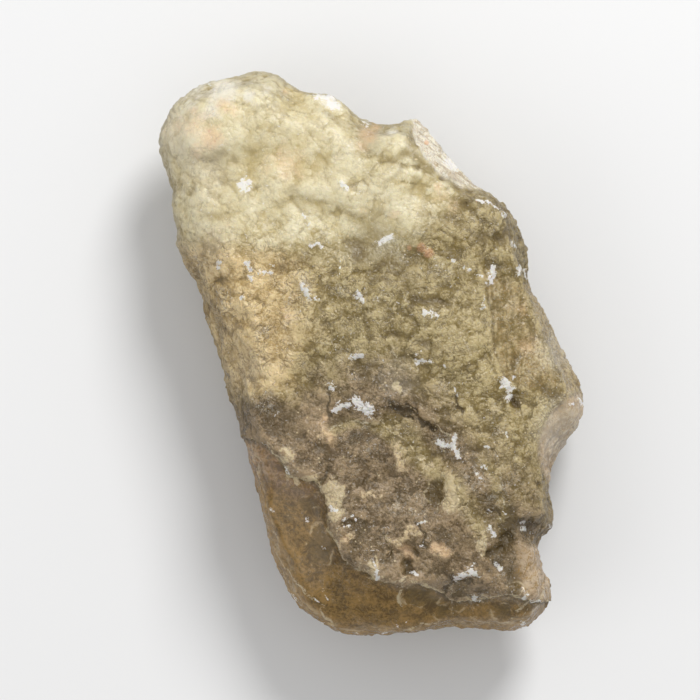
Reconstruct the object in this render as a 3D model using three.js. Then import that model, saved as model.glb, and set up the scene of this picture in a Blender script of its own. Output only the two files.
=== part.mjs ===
// A raw piece of Libyan desert glass: one natural body, wind-worn and broken, lying on its underside.
// Millimetres, +Z up. +Y runs towards the thin end, and the origin is under the middle of the stone.
import * as THREE from 'three';
import { mergeVertices } from 'three/addons/utils/BufferGeometryUtils.js';
import { ImprovedNoise } from 'three/addons/math/ImprovedNoise.js';

// Driving dimensions
const thickest = 27.5;        // height of the front face at its crown
const crown = { x: 1, y: -10 };
const thinEnd = { fall: 4.8, reach: 57 };      // how much lower the face is, so far from the crown
const brokenEnd = { fall: 1.4, reach: 37 };
const sideFall = 0.0022;      // how fast the face falls away to both sides
const halfLength = 50;        // of the oval that the outline fills, and its half width
const halfWidth = 29;
const lengthways = new THREE.Vector3(-0.405, 0.914, 0);   // the oval's long axis
const meshDetail = 21;        // the icosahedron's split: 20 * 22 * 22 triangles
const frontShare = 0.46;      // of the triangles, on the front face
const backShare = 0.26;       // and on the underside
const evenings = 12;          // rounds of evening out the triangles
const keptPlace = 0.25;       // how far a point keeps its place in each round
const flatBelow = 0.02;       // what lies lower than this is pressed flat as the foot

// Where the search for the skin starts: heights at the front, the rim and the underside, and how
// far outside the oval the rim's points are
const startHeights = { front: 25, rimTop: 23, rimFoot: 3, underside: 1 };
const rimSpread = 1.02;

// The triangles gather along the edges of the breaks, above this height and this near to them.
const gathering = { above: 7, pull: 1.6, within: 2 };

// Rounded lumps of the rough faces and slow waves: their width, their rise, and the layer of the
// pattern that they are taken from
const frontLumps = { size: 5.2, rise: 1.3, layer: 2 };
const frontKnobs = { size: 2.7, rise: 0.5, layer: 9 };
const undersideLumps = { size: 6.24, rise: 1.69, layer: 40 };
const frontWaves = { size: 11, rise: 0.5, layer: 3.3 };
const breakWaves = { size: 6, rise: 0.25, layer: 8.1 };
const undersideWaves = { size: 9, rise: 0.6, layer: 21.7 };
const middleKnob = 0.6;       // the usual height of the pattern of lumps, between 0 and 1

// Above and below the outline, the sides wander in and out by this much, and the outline's small
// bays are evened out over this reach.
const sides = { wander: 2.4, size: 9, layerHeight: 7, evenOver: 3, from: 0.5, to: 6 };

// Near the outline the skin is bitten unevenly, the more so the further it is from the outline's
// own height.
const bites = { within: 9, least: 0.2, more: 0.5, over: 6, size: 4, tall: 3, lumps: 0.8 };

// A flat core in the middle of the stone. The skin is found straight out from the nearest point of it.
const coreHeight = 13;
const core = [
  [-20, 40], [-2, 31], [10, 24], [18, 13], [27, -8], [25, -22], [20, -39], [0, -41], [-6, -38],
  [-29, 31], [-28, 37], [-25, 40],
];

// The outline seen from above, clockwise from the thin end
const outlinePoints = [
  [-19.8, 47.1], [-17.8, 46.8], [-16.0, 46.6], [-14.5, 45.6], [-13.0, 44.3], [-11.7, 43.6],
  [-10.5, 43.6], [-9.3, 43.0], [-8.2, 43.5], [-6.5, 43.4], [-5.3, 42.6], [-4.2, 41.0],
  [-1.7, 39.0], [-0.5, 38.5], [0.3, 37.5], [1.3, 38.0], [2.5, 38.0], [5.0, 38.6],
  [6.0, 39.2], [7.7, 38.6], [8.8, 37.5], [10.2, 36.6], [11.2, 35.0], [12.3, 33.8],
  [13.0, 32.3], [14.7, 31.0], [15.5, 29.6], [17.3, 28.0], [20.7, 26.5], [23.8, 23.8],
  [24.8, 21.8], [25.2, 16.1], [26.2, 14.3], [25.7, 12.1], [27.7, 9.0], [31.7, 0.8],
  [34.8, -4.7], [35.2, -7.2], [34.3, -11.5], [32.0, -15.7], [30.2, -17.7], [29.3, -20.2],
  [29.2, -22.5], [30.3, -29.2], [29.8, -31.0], [27.0, -31.2], [26.8, -32.9], [29.5, -36.5],
  [30.5, -38.4], [30.3, -40.7], [29.3, -42.9], [26.5, -45.0], [25.2, -46.2], [22.3, -45.9],
  [14.2, -45.5], [4.8, -46.4], [-1.8, -47.0], [-6.5, -46.0], [-12.2, -41.9], [-15.2, -36.4],
  [-17.2, -29.4], [-18.8, -22.7], [-20.5, -16.0], [-21.5, -11.0], [-22.7, -9.2], [-25.2, -1.0],
  [-27.0, 4.8], [-27.8, 6.8], [-27.5, 8.0], [-29.0, 12.3], [-31.2, 15.0], [-31.5, 17.3],
  [-31.5, 21.0], [-32.5, 24.8], [-33.7, 28.5], [-33.8, 29.6], [-35.0, 32.3], [-35.2, 35.6],
  [-34.3, 39.5], [-33.2, 41.8], [-29.7, 44.1], [-27.8, 45.3], [-26.2, 45.8], [-24.8, 45.6],
  [-23.5, 46.1], [-21.7, 46.5],
];
const outline = new THREE.CatmullRomCurve3(
  outlinePoints.map(([x, y]) => new THREE.Vector3(x, y, 0)), true, 'centripetal',
).getPoints(3 * outlinePoints.length).map((p) => [p.x, p.y]);

// The rim by bearing in degrees, anticlockwise from +X: its height, and how wide the front and
// the back roll over towards it.
const rim = [
  [-175, 10, 8, 9], [-155, 11, 5, 9], [-128, 13, 2.5, 9], [-112, 12, 2.5, 10], [-95, 10, 2.5, 9],
  [-75, 10, 2.5, 9], [-52, 11, 3, 8], [-35, 12, 3, 7], [-12, 8, 2, 8], [5, 7, 1.6, 7],
  [25, 8, 2, 8], [50, 9, 1.5, 8], [70, 11, 1.5, 8], [85, 13, 4, 10], [98, 13, 5, 11],
  [115, 13, 5, 11], [138, 12, 6, 10], [155, 10, 8, 10], [185, 10, 8, 9],
];

// The flat breaks that cut the front: a region, then a point on the break with its height,
// the way it falls, and its slope. A region's corners outside the outline only close it.
const flakeLine = [
  [-24, -13.2], [-21.2, -13.7], [-17.2, -14.9], [-14.7, -17.0], [-13.5, -19.7], [-8.8, -21.2],
  [-7.2, -23.9], [-7.0, -27.7], [-5.5, -31.0], [-4.5, -33.9], [-1.5, -35.4], [1.5, -37.4],
  [4.8, -38.2], [7.0, -37.7], [10.8, -38.9], [13.5, -41.0], [18.2, -40.7], [22.3, -39.7],
  [26.5, -40.9], [32, -41.5],
];
const breaks = [
  {
    region: [...flakeLine, [32, -52], [-24, -52]],
    planes: [
      { at: [-10.5, -25.5, 22.9], falls: [-0.87, -0.5], slope: 0.42 },
      { at: [-3, -37.5, 22.4], falls: [-0.45, -0.9], slope: 0.5 },
      { at: [12, -40.2, 23.0], falls: [0.05, -1], slope: 0.85 },
    ],
    soften: 1.6,
  },
  {
    region: [[25.5, 11.8], [27.3, 5.6], [29.5, 0.6], [32, -5.2], [32.4, -8], [42, -8], [40, 14]],
    planes: [{ at: [29.2, 1, 21.0], falls: [0.943, 0.333], slope: 2.1 }],
    soften: 0.6,
  },
  {
    region: [
      [6, 41], [7.2, 34.8], [9, 32.3], [11.5, 29.6], [15.2, 27.3], [18.5, 27], [22, 30], [12, 42],
    ],
    planes: [{ at: [10.5, 31.5, 22.6], falls: [0.72, 0.69], slope: 1.35 }],
    soften: 0.6,
  },
  {
    region: [[21, 28], [21.5, 24.2], [22.3, 21.5], [23.7, 18.4], [24.8, 15.3], [29, 14], [29, 27]],
    planes: [{ at: [22.8, 20.5, 22.0], falls: [0.93, 0.36], slope: 1.2 }],
    soften: 0.6,
  },
  {
    region: [[25.3, -27.2], [31.5, -27.2], [32, -31.6], [26.5, -31.6], [24.6, -30.4]],
    planes: [{ at: [27, -29, 20.3], falls: [0.9, -0.4], slope: 0.25 }],
    soften: 0.6,
  },
];

// The long strip right of the first ridge falls gently to the edge.
const rightStrip = { at: [17.8, 14.3, 25.5], falls: [0.98, 0.19], slope: 0.5, soften: 0.5 };

// Shell-shaped hollows struck from the front: centre and radius of the ball that fits each
const scoops = [
  [38, -16, 26.5, 10.5], [14, -50, 31, 14], [-21, -44, 30, 15], [36, -32.5, 27, 8.5],
];
const softScoop = 0.4;        // how softly a hollow's edge is rounded

// Besides the first break, the skin is smooth inside these circles: centre, radius and soft edge.
const smoothSpots = [[38, -16, 10.5, 1.5], [28, -36, 5, 2]];
const smoothing = 0.85;       // how much of the lumps is lost where the skin is smooth
const softEdge = { from: -0.5, to: 0.6 };      // how far outside and inside its edge a break sets in

// A groove runs down the right side near the broken end: its middle, width and lean.
const groove = { x: 29.6, y: -32.2, radius: 2.7, lean: 0.12 };

// Swells and dips of the front face: x, y, radius, rise
const swells = [
  [-27.5, 36.5, 6, 1.3], [-26, 30.5, 4, -0.7], [-20, 44, 4, 0.7], [-8, 42, 3, 0.8],
  [-0.7, 35.5, 3, -1.3], [3.2, 34.8, 3.2, 1.1], [5, 26, 6, 0.9], [-14.5, 31.5, 5, -0.6],
  [-3.5, 34, 2.6, 0.6], [-18, 22.5, 7, 0.7], [10, 27.5, 5, -0.8], [-2, 18.5, 9, -1.0],
  [13, 20, 6, -0.5], [-14, 13, 8, -0.6], [6, 10, 8, 0.7], [-8, 8, 6, 0.5],
  [12, 2, 7, 0.6], [2.5, -21, 8, -1.4], [10.5, -23, 2.6, -1.6], [13.5, -22.5, 3, 0.8],
  [4.5, -10.5, 4, -1.1], [-14, -5, 6, -0.8], [-13, -8, 7, -0.7], [18, -12, 7, -0.6],
  [22.5, -31, 2.6, -2.0], [24.5, -36.5, 2, -1.6], [27.8, -36.8, 2.6, 0.9], [6, -34.5, 2.4, -1.2],
  [16, -35, 4, -0.7], [21, -27, 4, -0.6], [11, -15.5, 2.6, -0.9], [-4, -27, 3.5, 0.6],
];

// Small steps across the front face. The face drops on the right-hand side of each line as it runs.
const steps = [
  { line: [[-31.5, 32.6], [-28.5, 32.8], [-23.2, 33.3], [-21.5, 34.3]], drop: 1.5, width: 4 },
  {
    line: [[-17.2, 24.8], [-12, 25.6], [-7, 24.4], [0, 22], [4.8, 19], [11.5, 19]],
    drop: 1.1,
    width: 5,
  },
  { line: [[-5, -0.6], [1.5, 0.3], [8.2, -1.4], [12.3, -2]], drop: 1.0, width: 4 },
  {
    line: [[-6.8, -14.4], [-4.3, -11.8], [2.3, -10.7], [6, -12.2], [10, -16], [12, -20]],
    drop: 0.9,
    width: 3.5,
  },
  { line: [[-6, -9], [-3.5, -8], [0.2, -9.4]], drop: 0.8, width: 2.5 },
  { line: [[3.5, -7.8], [5.7, -9.8], [8.2, -11.9], [10.7, -12.8]], drop: 1.2, width: 2.5 },
];
const stepSlope = 0.7;        // half the width of a step's own slope
const stepEnd = 1.5;          // how far past its ends a step dies out

// The underside is a shallow bowl whose middle is worn flat, with planes that rise out of it, by the
// way they rise, where they start along that way, and their slope.
const bowl = { x: 1, y: -7, below: 1.3, acrossCurve: 0.0075, alongCurve: 0.0027 };
const undersides = [
  { rises: [0.1, 0.995], from: 17, slope: 0.27 }, { rises: [0.1, -0.995], from: 31, slope: 0.42 },
  { rises: [0.97, 0.24], from: 18, slope: 0.5 }, { rises: [-0.95, 0.3], from: 17, slope: 0.42 },
  { rises: [0.8, 0.6], from: 23, slope: 0.55 }, { rises: [-0.85, -0.53], from: 21, slope: 0.45 },
  { rises: [0.75, -0.66], from: 33, slope: 0.5 },
];
const softUnderside = 0.6;    // how softly the planes meet

// Hollows struck from the underside: centre and radius of the ball that fits each
const hollowsBelow = [
  [-17, 22, -25, 29.5], [21, 3, -21, 26], [-15, -19, -27, 30.5], [14, -37, -19, 25],
  [2, 33, -16, 22.5],
];

const perlin = new ImprovedNoise();
const clamp = THREE.MathUtils.clamp;
const smooth = THREE.MathUtils.smoothstep;

function softMin(a, b, radius) {
  const h = clamp(0.5 + (b - a) / (2 * radius), 0, 1);
  return b + (a - b) * h - radius * h * (1 - h);
}

// Distance from a point to a run of points, the nearest place on the run, the side that the point
// lies on, positive to the right, and how far it is beyond the run's ends
function beside(points, closed, x, y) {
  const last = closed ? points.length : points.length - 1;
  let near = Infinity;
  let side = 1;
  let beyond = 0;
  let nearest = points[0];
  for (let i = 0; i < last; i++) {
    const [ax, ay] = points[i];
    const [bx, by] = points[(i + 1) % points.length];
    const dx = bx - ax;
    const dy = by - ay;
    const run = dx * dx + dy * dy;
    const along = ((x - ax) * dx + (y - ay) * dy) / run;
    const t = clamp(along, 0, 1);
    const gap = Math.hypot(x - ax - t * dx, y - ay - t * dy);
    if (gap < near - 1e-9) {
      near = gap;
      nearest = [ax + t * dx, ay + t * dy];
      const across = ((x - ax) * dy - (y - ay) * dx) / Math.sqrt(run);
      const past = Math.max(-along, along - 1, 0) * Math.sqrt(run);
      const atEnd = !closed && ((i === 0 && along < 0) || (i === last - 1 && along > 1));
      beyond = atEnd ? past : 0;
      side = atEnd ? across : Math.sign(across) * gap;
    }
  }
  return { side, near, beyond, nearest };
}

function inPolygon(points, x, y) {
  let inside = false;
  for (let i = 0, j = points.length - 1; i < points.length; j = i++) {
    const [ax, ay] = points[i];
    const [bx, by] = points[j];
    if ((ay > y) !== (by > y) && x < ((bx - ax) * (y - ay)) / (by - ay) + ax) inside = !inside;
  }
  return inside;
}

// How far a point lies inside a closed run of points, negative outside
function depthIn(points, x, y) {
  const { near } = beside(points, true, x, y);
  return inPolygon(points, x, y) ? near : -near;
}

// A number from 0 to 1 that looks random, the same each time for the same three whole numbers
function scatter(i, j, k) {
  let h = Math.imul(i, 374761393) ^ Math.imul(j, 668265263) ^ Math.imul(k, 2147483647);
  h = Math.imul(h ^ (h >>> 13), 1274126177);
  return ((h ^ (h >>> 16)) >>> 0) / 4294967296;
}

// Rounded lumps with creases between them: 1 on top of a lump, 0 deep in a crease
function knobs(x, y, z, size) {
  const u = x / size;
  const v = y / size;
  const w = z / size;
  const [i0, j0, k0] = [Math.floor(u), Math.floor(v), Math.floor(w)];
  let near = 9;
  for (let i = i0 - 1; i <= i0 + 1; i++) {
    for (let j = j0 - 1; j <= j0 + 1; j++) {
      for (let k = k0 - 1; k <= k0 + 1; k++) {
        const gap = Math.hypot(
          i + scatter(i, j, k) - u, j + scatter(j, k, i + 57) - v, k + scatter(k, i, j + 91) - w,
        );
        near = Math.min(near, gap);
      }
    }
  }
  return 1 - Math.min(1, near * near);
}

const lumpHeight = ({ size, rise, layer }, x, y) => rise * (knobs(x, y, layer, size) - middleKnob);

const waveHeight = ({ size, rise, layer }, x, y) => rise * perlin.noise(x / size, y / size, layer);

const planeHeight = ({ at, falls, slope }, x, y) =>
  at[2] - slope * ((x - at[0]) * falls[0] + (y - at[1]) * falls[1]);

function stepHeight({ line, drop, width }, x, y) {
  const { side, beyond } = beside(line, false, x, y);
  const fade = Math.exp(-((side / width) ** 2)) * Math.exp(-((beyond / stepEnd) ** 2));
  return -(drop / 2) * Math.tanh(side / stepSlope) * fade;
}

// How smooth the front is at a point: 1 on the fresh breaks, 0 on the worn rough face
function freshness(x, y) {
  const spots = smoothSpots.map(([cx, cy, radius, edge]) => (
    smooth(radius - Math.hypot(x - cx, y - cy), 0, edge)
  ));
  return Math.max(smooth(depthIn(breaks[0].region, x, y), 0, 1.5), ...spots);
}

function frontHeight(x, y) {
  const along = y - crown.y;
  const { fall, reach } = along > 0 ? thinEnd : brokenEnd;
  let z = thickest - fall * (along / reach) ** 2 - sideFall * (x - crown.x) ** 2;
  for (const [sx, sy, radius, rise] of swells) {
    z += rise * Math.exp(-((x - sx) ** 2 + (y - sy) ** 2) / radius ** 2);
  }
  for (const step of steps) z += stepHeight(step, x, y);
  z += waveHeight(frontWaves, x, y);
  z = softMin(z, planeHeight(rightStrip, x, y), rightStrip.soften);
  for (const { region, planes, soften } of breaks) {
    const depth = depthIn(region, x, y);
    if (depth < softEdge.from) continue;
    let cut = planes.map((p) => planeHeight(p, x, y)).reduce((a, b) => softMin(a, b, soften));
    cut += waveHeight(breakWaves, x, y);
    z += (Math.min(z, cut) - z) * smooth(depth, softEdge.from, softEdge.to);
  }
  for (const [cx, cy, cz, radius] of scoops) {
    const away = Math.hypot(x - cx, y - cy);
    if (away < radius) z = softMin(z, cz - Math.sqrt(radius ** 2 - away ** 2), softScoop);
  }
  const rough = 1 - smoothing * freshness(x, y);
  return z + rough * (lumpHeight(frontLumps, x, y) + lumpHeight(frontKnobs, x, y));
}

function backHeight(x, y) {
  let z = bowl.acrossCurve * (x - bowl.x) ** 2 + bowl.alongCurve * (y - bowl.y) ** 2 - bowl.below;
  for (const { rises, from, slope } of undersides) {
    z = -softMin(-z, -slope * (x * rises[0] + y * rises[1] - from), softUnderside);
  }
  for (const [cx, cy, cz, radius] of hollowsBelow) {
    const away = Math.hypot(x - cx, y - cy);
    if (away < radius) z = -softMin(-z, -(cz + Math.sqrt(radius ** 2 - away ** 2)), softScoop);
  }
  z += waveHeight(undersideWaves, x, y) - lumpHeight(undersideLumps, x, y);
  // The foot is the part that would lie below the ground, worn flat.
  return Math.max(z, 0);
}

function rimAt(x, y) {
  const bearing = THREE.MathUtils.radToDeg(Math.atan2(y, x));
  const next = rim.findIndex(([b]) => b > bearing);
  const [from, to] = [rim[Math.max(next - 1, 0)], rim[Math.max(next, 1)]];
  const t = smooth(bearing, from[0], to[0]);
  return from.map((value, i) => value + (to[i] - value) * t);
}

// A map of the stone's plan, worked out once at each point of a fine square net and read between
function charted(values) {
  const net = 0.4;
  const longestRow = 4096;
  const known = new Map();
  const at = (i, j) => {
    const key = i * longestRow + j;
    if (!known.has(key)) known.set(key, values(i * net, j * net));
    return known.get(key);
  };
  return (x, y) => {
    const [u, v] = [x / net, y / net];
    const [i, j] = [Math.floor(u), Math.floor(v)];
    const [s, t] = [u - i, v - j];
    const near = at(i, j) * (1 - s) + at(i + 1, j) * s;
    const far = at(i, j + 1) * (1 - s) + at(i + 1, j + 1) * s;
    return near * (1 - t) + far * t;
  };
}

const depthMap = charted((x, y) => depthIn(outline, x, y));

// The same depth with the outline's small bays and points evened away
const evenDepthMap = charted((x, y) => {
  const ring = 12;
  let sum = 0;
  for (let i = 0; i < ring; i++) {
    const turn = (2 * Math.PI * i) / ring;
    sum += depthMap(x + sides.evenOver * Math.cos(turn), y + sides.evenOver * Math.sin(turn));
  }
  return sum / ring;
});
const frontMap = charted(frontHeight);
const backMap = charted(backHeight);

// A quarter round: 0 at the rim, 1 from a full roll's width inwards
const roll = (inwards, width) => Math.sqrt(1 - (1 - clamp(inwards / width, 0, 1)) ** 2);

// How far a point is inside the sides, at a height above or below the outline's own
function sideDepth(x, y, fromRim) {
  const away = smooth(Math.abs(fromRim), sides.from, sides.to);
  const wander = { size: sides.size, rise: sides.wander * away, layer: fromRim / sides.layerHeight };
  const wx = x + waveHeight(wander, x, y);
  const wy = y + waveHeight({ ...wander, layer: wander.layer + 31.5 }, x, y);
  const depth = depthMap(wx, wy) * (1 - away) + evenDepthMap(wx, wy) * away;
  const toGroove = Math.hypot(x - groove.x - groove.lean * fromRim, y - groove.y) - groove.radius;
  return Math.min(depth, toGroove);
}

function inside(x, y, z) {
  const [, height, frontRoll, backRoll] = rimAt(x, y);
  let depth = sideDepth(x, y, z - height);
  if (depth < bites.within) {
    const bite = bites.least + bites.more * Math.min(1, Math.abs(z - height) / bites.over);
    const wave = perlin.noise(x / bites.size, y / bites.size, z / bites.tall);
    depth += bite * (wave + bites.lumps * (knobs(x, y, z, bites.size) - middleKnob));
  }
  if (depth <= 0) return false;
  const top = height + (frontMap(x, y) - height) * roll(depth, frontRoll);
  if (z > top) return false;
  return z > height - (height - backMap(x, y)) * roll(depth, backRoll);
}

// The skin straight out from the core through a point near it
function ontoSkin(point) {
  const { x, y } = point;
  const [fromX, fromY] = inPolygon(core, x, y) ? [x, y] : beside(core, true, x, y).nearest;
  const from = new THREE.Vector3(fromX, fromY, coreHeight);
  const way = point.clone().sub(from);
  const reached = way.length();
  way.normalize();
  const isIn = (out) => inside(from.x + way.x * out, from.y + way.y * out, from.z + way.z * out);
  const stride = 0.6;
  const halvings = 12;
  let out = reached;
  if (isIn(out)) {
    while (isIn(out + stride)) out += stride;
  } else {
    while (out > 0 && !isIn(out)) out -= stride;
  }
  let low = Math.max(out, 0);
  let high = out + stride;
  for (let i = 0; i < halvings; i++) {
    const middle = (low + high) / 2;
    if (isIn(middle)) low = middle;
    else high = middle;
  }
  return from.addScaledVector(way, low);
}

// Where a point of the unit ball starts out on the stone: the top of the ball is spread over the
// front face, its foot over the underside, and the band between them over the rim.
function startOf(b) {
  const sideways = new THREE.Vector3().crossVectors(new THREE.Vector3(0, 0, 1), lengthways);
  const frontFrom = 1 - 2 * frontShare;
  const backFrom = -1 + 2 * backShare;
  const { front, rimTop, rimFoot, underside } = startHeights;
  let spread = rimSpread;
  let z = THREE.MathUtils.mapLinear(b.z, backFrom, frontFrom, rimFoot, rimTop);
  if (b.z > frontFrom) [spread, z] = [Math.sqrt((1 - b.z) / (1 - frontFrom)), front];
  if (b.z < backFrom) [spread, z] = [Math.sqrt((1 + b.z) / (1 + backFrom)), underside];
  const scale = spread / Math.max(Math.hypot(b.x, b.y), 1e-6);
  return new THREE.Vector3(0, 0, z)
    .addScaledVector(lengthways, b.x * scale * halfLength)
    .addScaledVector(sideways, b.y * scale * halfWidth);
}

// How strongly a place draws the points of the mesh to it
const drawnTo = charted((x, y) => {
  const gaps = breaks.map(({ region }) => Math.abs(depthIn(region, x, y)));
  gaps.push(Math.hypot(x - groove.x, y - groove.y) - groove.radius);
  return 1 + gathering.pull * Math.exp(-((Math.min(...gaps) / gathering.within) ** 2));
});

function stoneGeometry() {
  const ball = new THREE.IcosahedronGeometry(1, meshDetail);
  ball.deleteAttribute('normal');
  ball.deleteAttribute('uv');
  const geometry = mergeVertices(ball, 1e-4);
  const position = geometry.getAttribute('position');
  const index = geometry.index.array;
  let points = [];
  for (let i = 0; i < position.count; i++) {
    points.push(ontoSkin(startOf(new THREE.Vector3().fromBufferAttribute(position, i))));
  }

  // Each round moves every point towards the middle of its neighbours, then back onto the skin.
  for (let round = 0; round < evenings; round++) {
    const sums = points.map(() => new THREE.Vector3());
    const weights = new Array(points.length).fill(0);
    const pulls = points.map((p) => (p.z > gathering.above ? drawnTo(p.x, p.y) : 1));
    for (let t = 0; t < index.length; t += 3) {
      for (let c = 0; c < 3; c++) {
        const [a, b] = [index[t + c], index[t + ((c + 1) % 3)]];
        sums[a].addScaledVector(points[b], pulls[b]);
        weights[a] += pulls[b];
      }
    }
    points = points.map((p, i) => ontoSkin(sums[i].divideScalar(weights[i]).lerp(p, keptPlace)));
  }

  points.forEach((p, i) => position.setXYZ(i, p.x, p.y, p.z < flatBelow ? 0 : p.z));
  const box = new THREE.Box3().setFromBufferAttribute(position);
  geometry.translate(-(box.min.x + box.max.x) / 2, -(box.min.y + box.max.y) / 2, -box.min.z);
  geometry.computeVertexNormals();
  return geometry;
}

const desertGlass = new THREE.Mesh(
  stoneGeometry(),
  new THREE.MeshStandardMaterial({ color: 0xa6976a, roughness: 0.5, metalness: 0 }),
);
desertGlass.name = 'desert_glass';

const stone = new THREE.Group();
stone.add(desertGlass);

export default stone;
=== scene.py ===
import math

import bmesh
import bpy
import numpy as np
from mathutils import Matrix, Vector, noise


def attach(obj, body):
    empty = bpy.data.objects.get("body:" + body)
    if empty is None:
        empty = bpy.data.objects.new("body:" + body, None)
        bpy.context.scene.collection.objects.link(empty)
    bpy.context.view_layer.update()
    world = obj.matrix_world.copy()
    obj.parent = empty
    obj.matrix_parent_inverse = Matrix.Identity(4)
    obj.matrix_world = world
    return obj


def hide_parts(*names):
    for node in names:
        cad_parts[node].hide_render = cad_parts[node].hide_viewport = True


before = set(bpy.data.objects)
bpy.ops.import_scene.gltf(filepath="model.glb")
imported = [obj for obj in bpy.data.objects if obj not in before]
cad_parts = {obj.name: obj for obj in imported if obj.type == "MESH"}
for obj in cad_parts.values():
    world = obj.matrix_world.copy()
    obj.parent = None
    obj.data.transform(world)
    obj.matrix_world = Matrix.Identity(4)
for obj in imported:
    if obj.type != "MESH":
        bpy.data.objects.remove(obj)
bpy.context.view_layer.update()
mm = 0.001

# All places and lengths on the stone are in millimetres: x to the right and y towards the thin end,
# as the camera sees them from straight above.

stage = {
    "lookAt": (-3.5, 0.6),
    "fieldWidth": 116.7,        # how much of the stone's plane the picture takes in
    "cameraHeight": 1600.0,
    "rimHeight": 10.0,          # the outline lies at about this height, where the field is that wide
    "floorSize": 6000.0,
    "floorColour": (0.70, 0.70, 0.70, 1),
    "floorRoughness": 0.9,
    "worldLight": 0.64,
    "keyPower": 7.1,
    "keyFrom": (260, 620, 620),
    "keySize": 340.0,
    "fillPower": 1.0,
    "fillFrom": (-600, -250, 500),
    "fillSize": 600.0,
    "filmWidth": 36.0,
    "clipping": (0.05, 20),     # metres
}

# The big break at the lower left: the rough face ends at this ledge, and the glassy facet starts.
ledge = [
    (-24, -13.2), (-21.2, -13.7), (-17.2, -14.9), (-14.7, -17), (-13.5, -19.7), (-8.8, -21.2),
    (-7.2, -23.9), (-7, -27.7), (-5.5, -31), (-4.5, -33.9), (-1.5, -35.4), (1.5, -37.4), (4.8, -38.2),
    (7, -37.7), (10.8, -38.9), (13.5, -41), (18.2, -40.7), (22.3, -39.7), (26.5, -40.9), (32, -41.5),
]
chalkBand = [(6, 41), (7.2, 34.8), (9, 32.3), (11.5, 29.6), (15.2, 27.3), (18.5, 27), (22, 30), (12, 42)]
rightRidge = [(17.8, 14.3), (18.7, 9), (19.7, 1), (21.3, -3.7), (23.8, -5.9)]
outerRidge = [(25.5, 11.8), (27.3, 5.6), (29.5, 0.6), (32, -5.2), (32.4, -8)]
outerFacet = outerRidge + [(42, -8), (40, 14)]
strip = rightRidge + outerRidge[::-1]

relief = {
    "rounding": 3,              # rounds of smoothing that melt the solid's facets
    "frontEdge": 0.48,          # longest edge on the rough face that the camera sees
    "rimEdge": 0.58,            # and on the sides and the smooth breaks
    "backEdge": 1.8,
    "domeSize": 4.6, "domeRise": 0.52,      # rounded lumps that lie over each other, towards the thin end
    "scaleSize": 2.6, "scaleRise": 0.36,    # and the smaller ones of the middle
    "knobSize": 2.4, "knobRise": 0.18,
    "grainSize": 0.7, "grainRise": 0.12,
    "rimSize": 1.7, "rimRise": 0.62,
    "wander": 1.2, "drift": 2.0,    # how far the lumps are pulled out of their even pattern
    "waveRise": 0.18,           # slow waves of the glassy breaks
    "strokeDepth": 0.35,        # of the hollows and ridges drawn as strokes
    "calming": 0.5,             # how much flatter the calm places are
    "pitDepth": 0.8,
    "crackDepth": 0.3,
    "chalkRise": 0.10,
    "outerGrooves": 0.35, "stripGrooves": 0.2,      # long grooves on the right side
    "bandLayers": 0.35,         # steps of the chalk band
    "lipRise": 0.42, "lipFall": 0.30,       # the ledge's edge and the hollow in front of it
    "smoothing": 0.9,           # how much of the lumps is gone from a fresh break
    "paleScoop": (38, -16, 10.5), "lobe": (28.6, -36.2, 5.6),   # round breaks: x, y, radius
    "bowl": (4, -23, 14), "bowlCalming": 0.65,      # the flatter umber part
    "fineRounds": 8, "fineSpread": 0.16,    # rounds of evening and the depth that counts as a full hollow
    "broadRounds": 90, "broadSpread": 0.7,
    "meltRounds": 4,            # rounds of cutting the long edges
    "seed": (11.3, 4.7, 8.9),
}

# Where the colours of the glass change over: places across the stone, and how far up it each lies there
zoneLines = {
    "palePlaces": [-35, -20, -8, 4, 9, 14, 22],
    "paleLine": [20, 20, 19, 18, 23, 27, 30],
    "umberPlaces": [-30, -18, -8, 5, 18, 30],
    "umberStart": [-3, -3, 5, 12, 2, -6],
    "umberReach": [9, 10, 18, 26, 34, 40],
    "veinClearing": 0.6,
}

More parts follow.
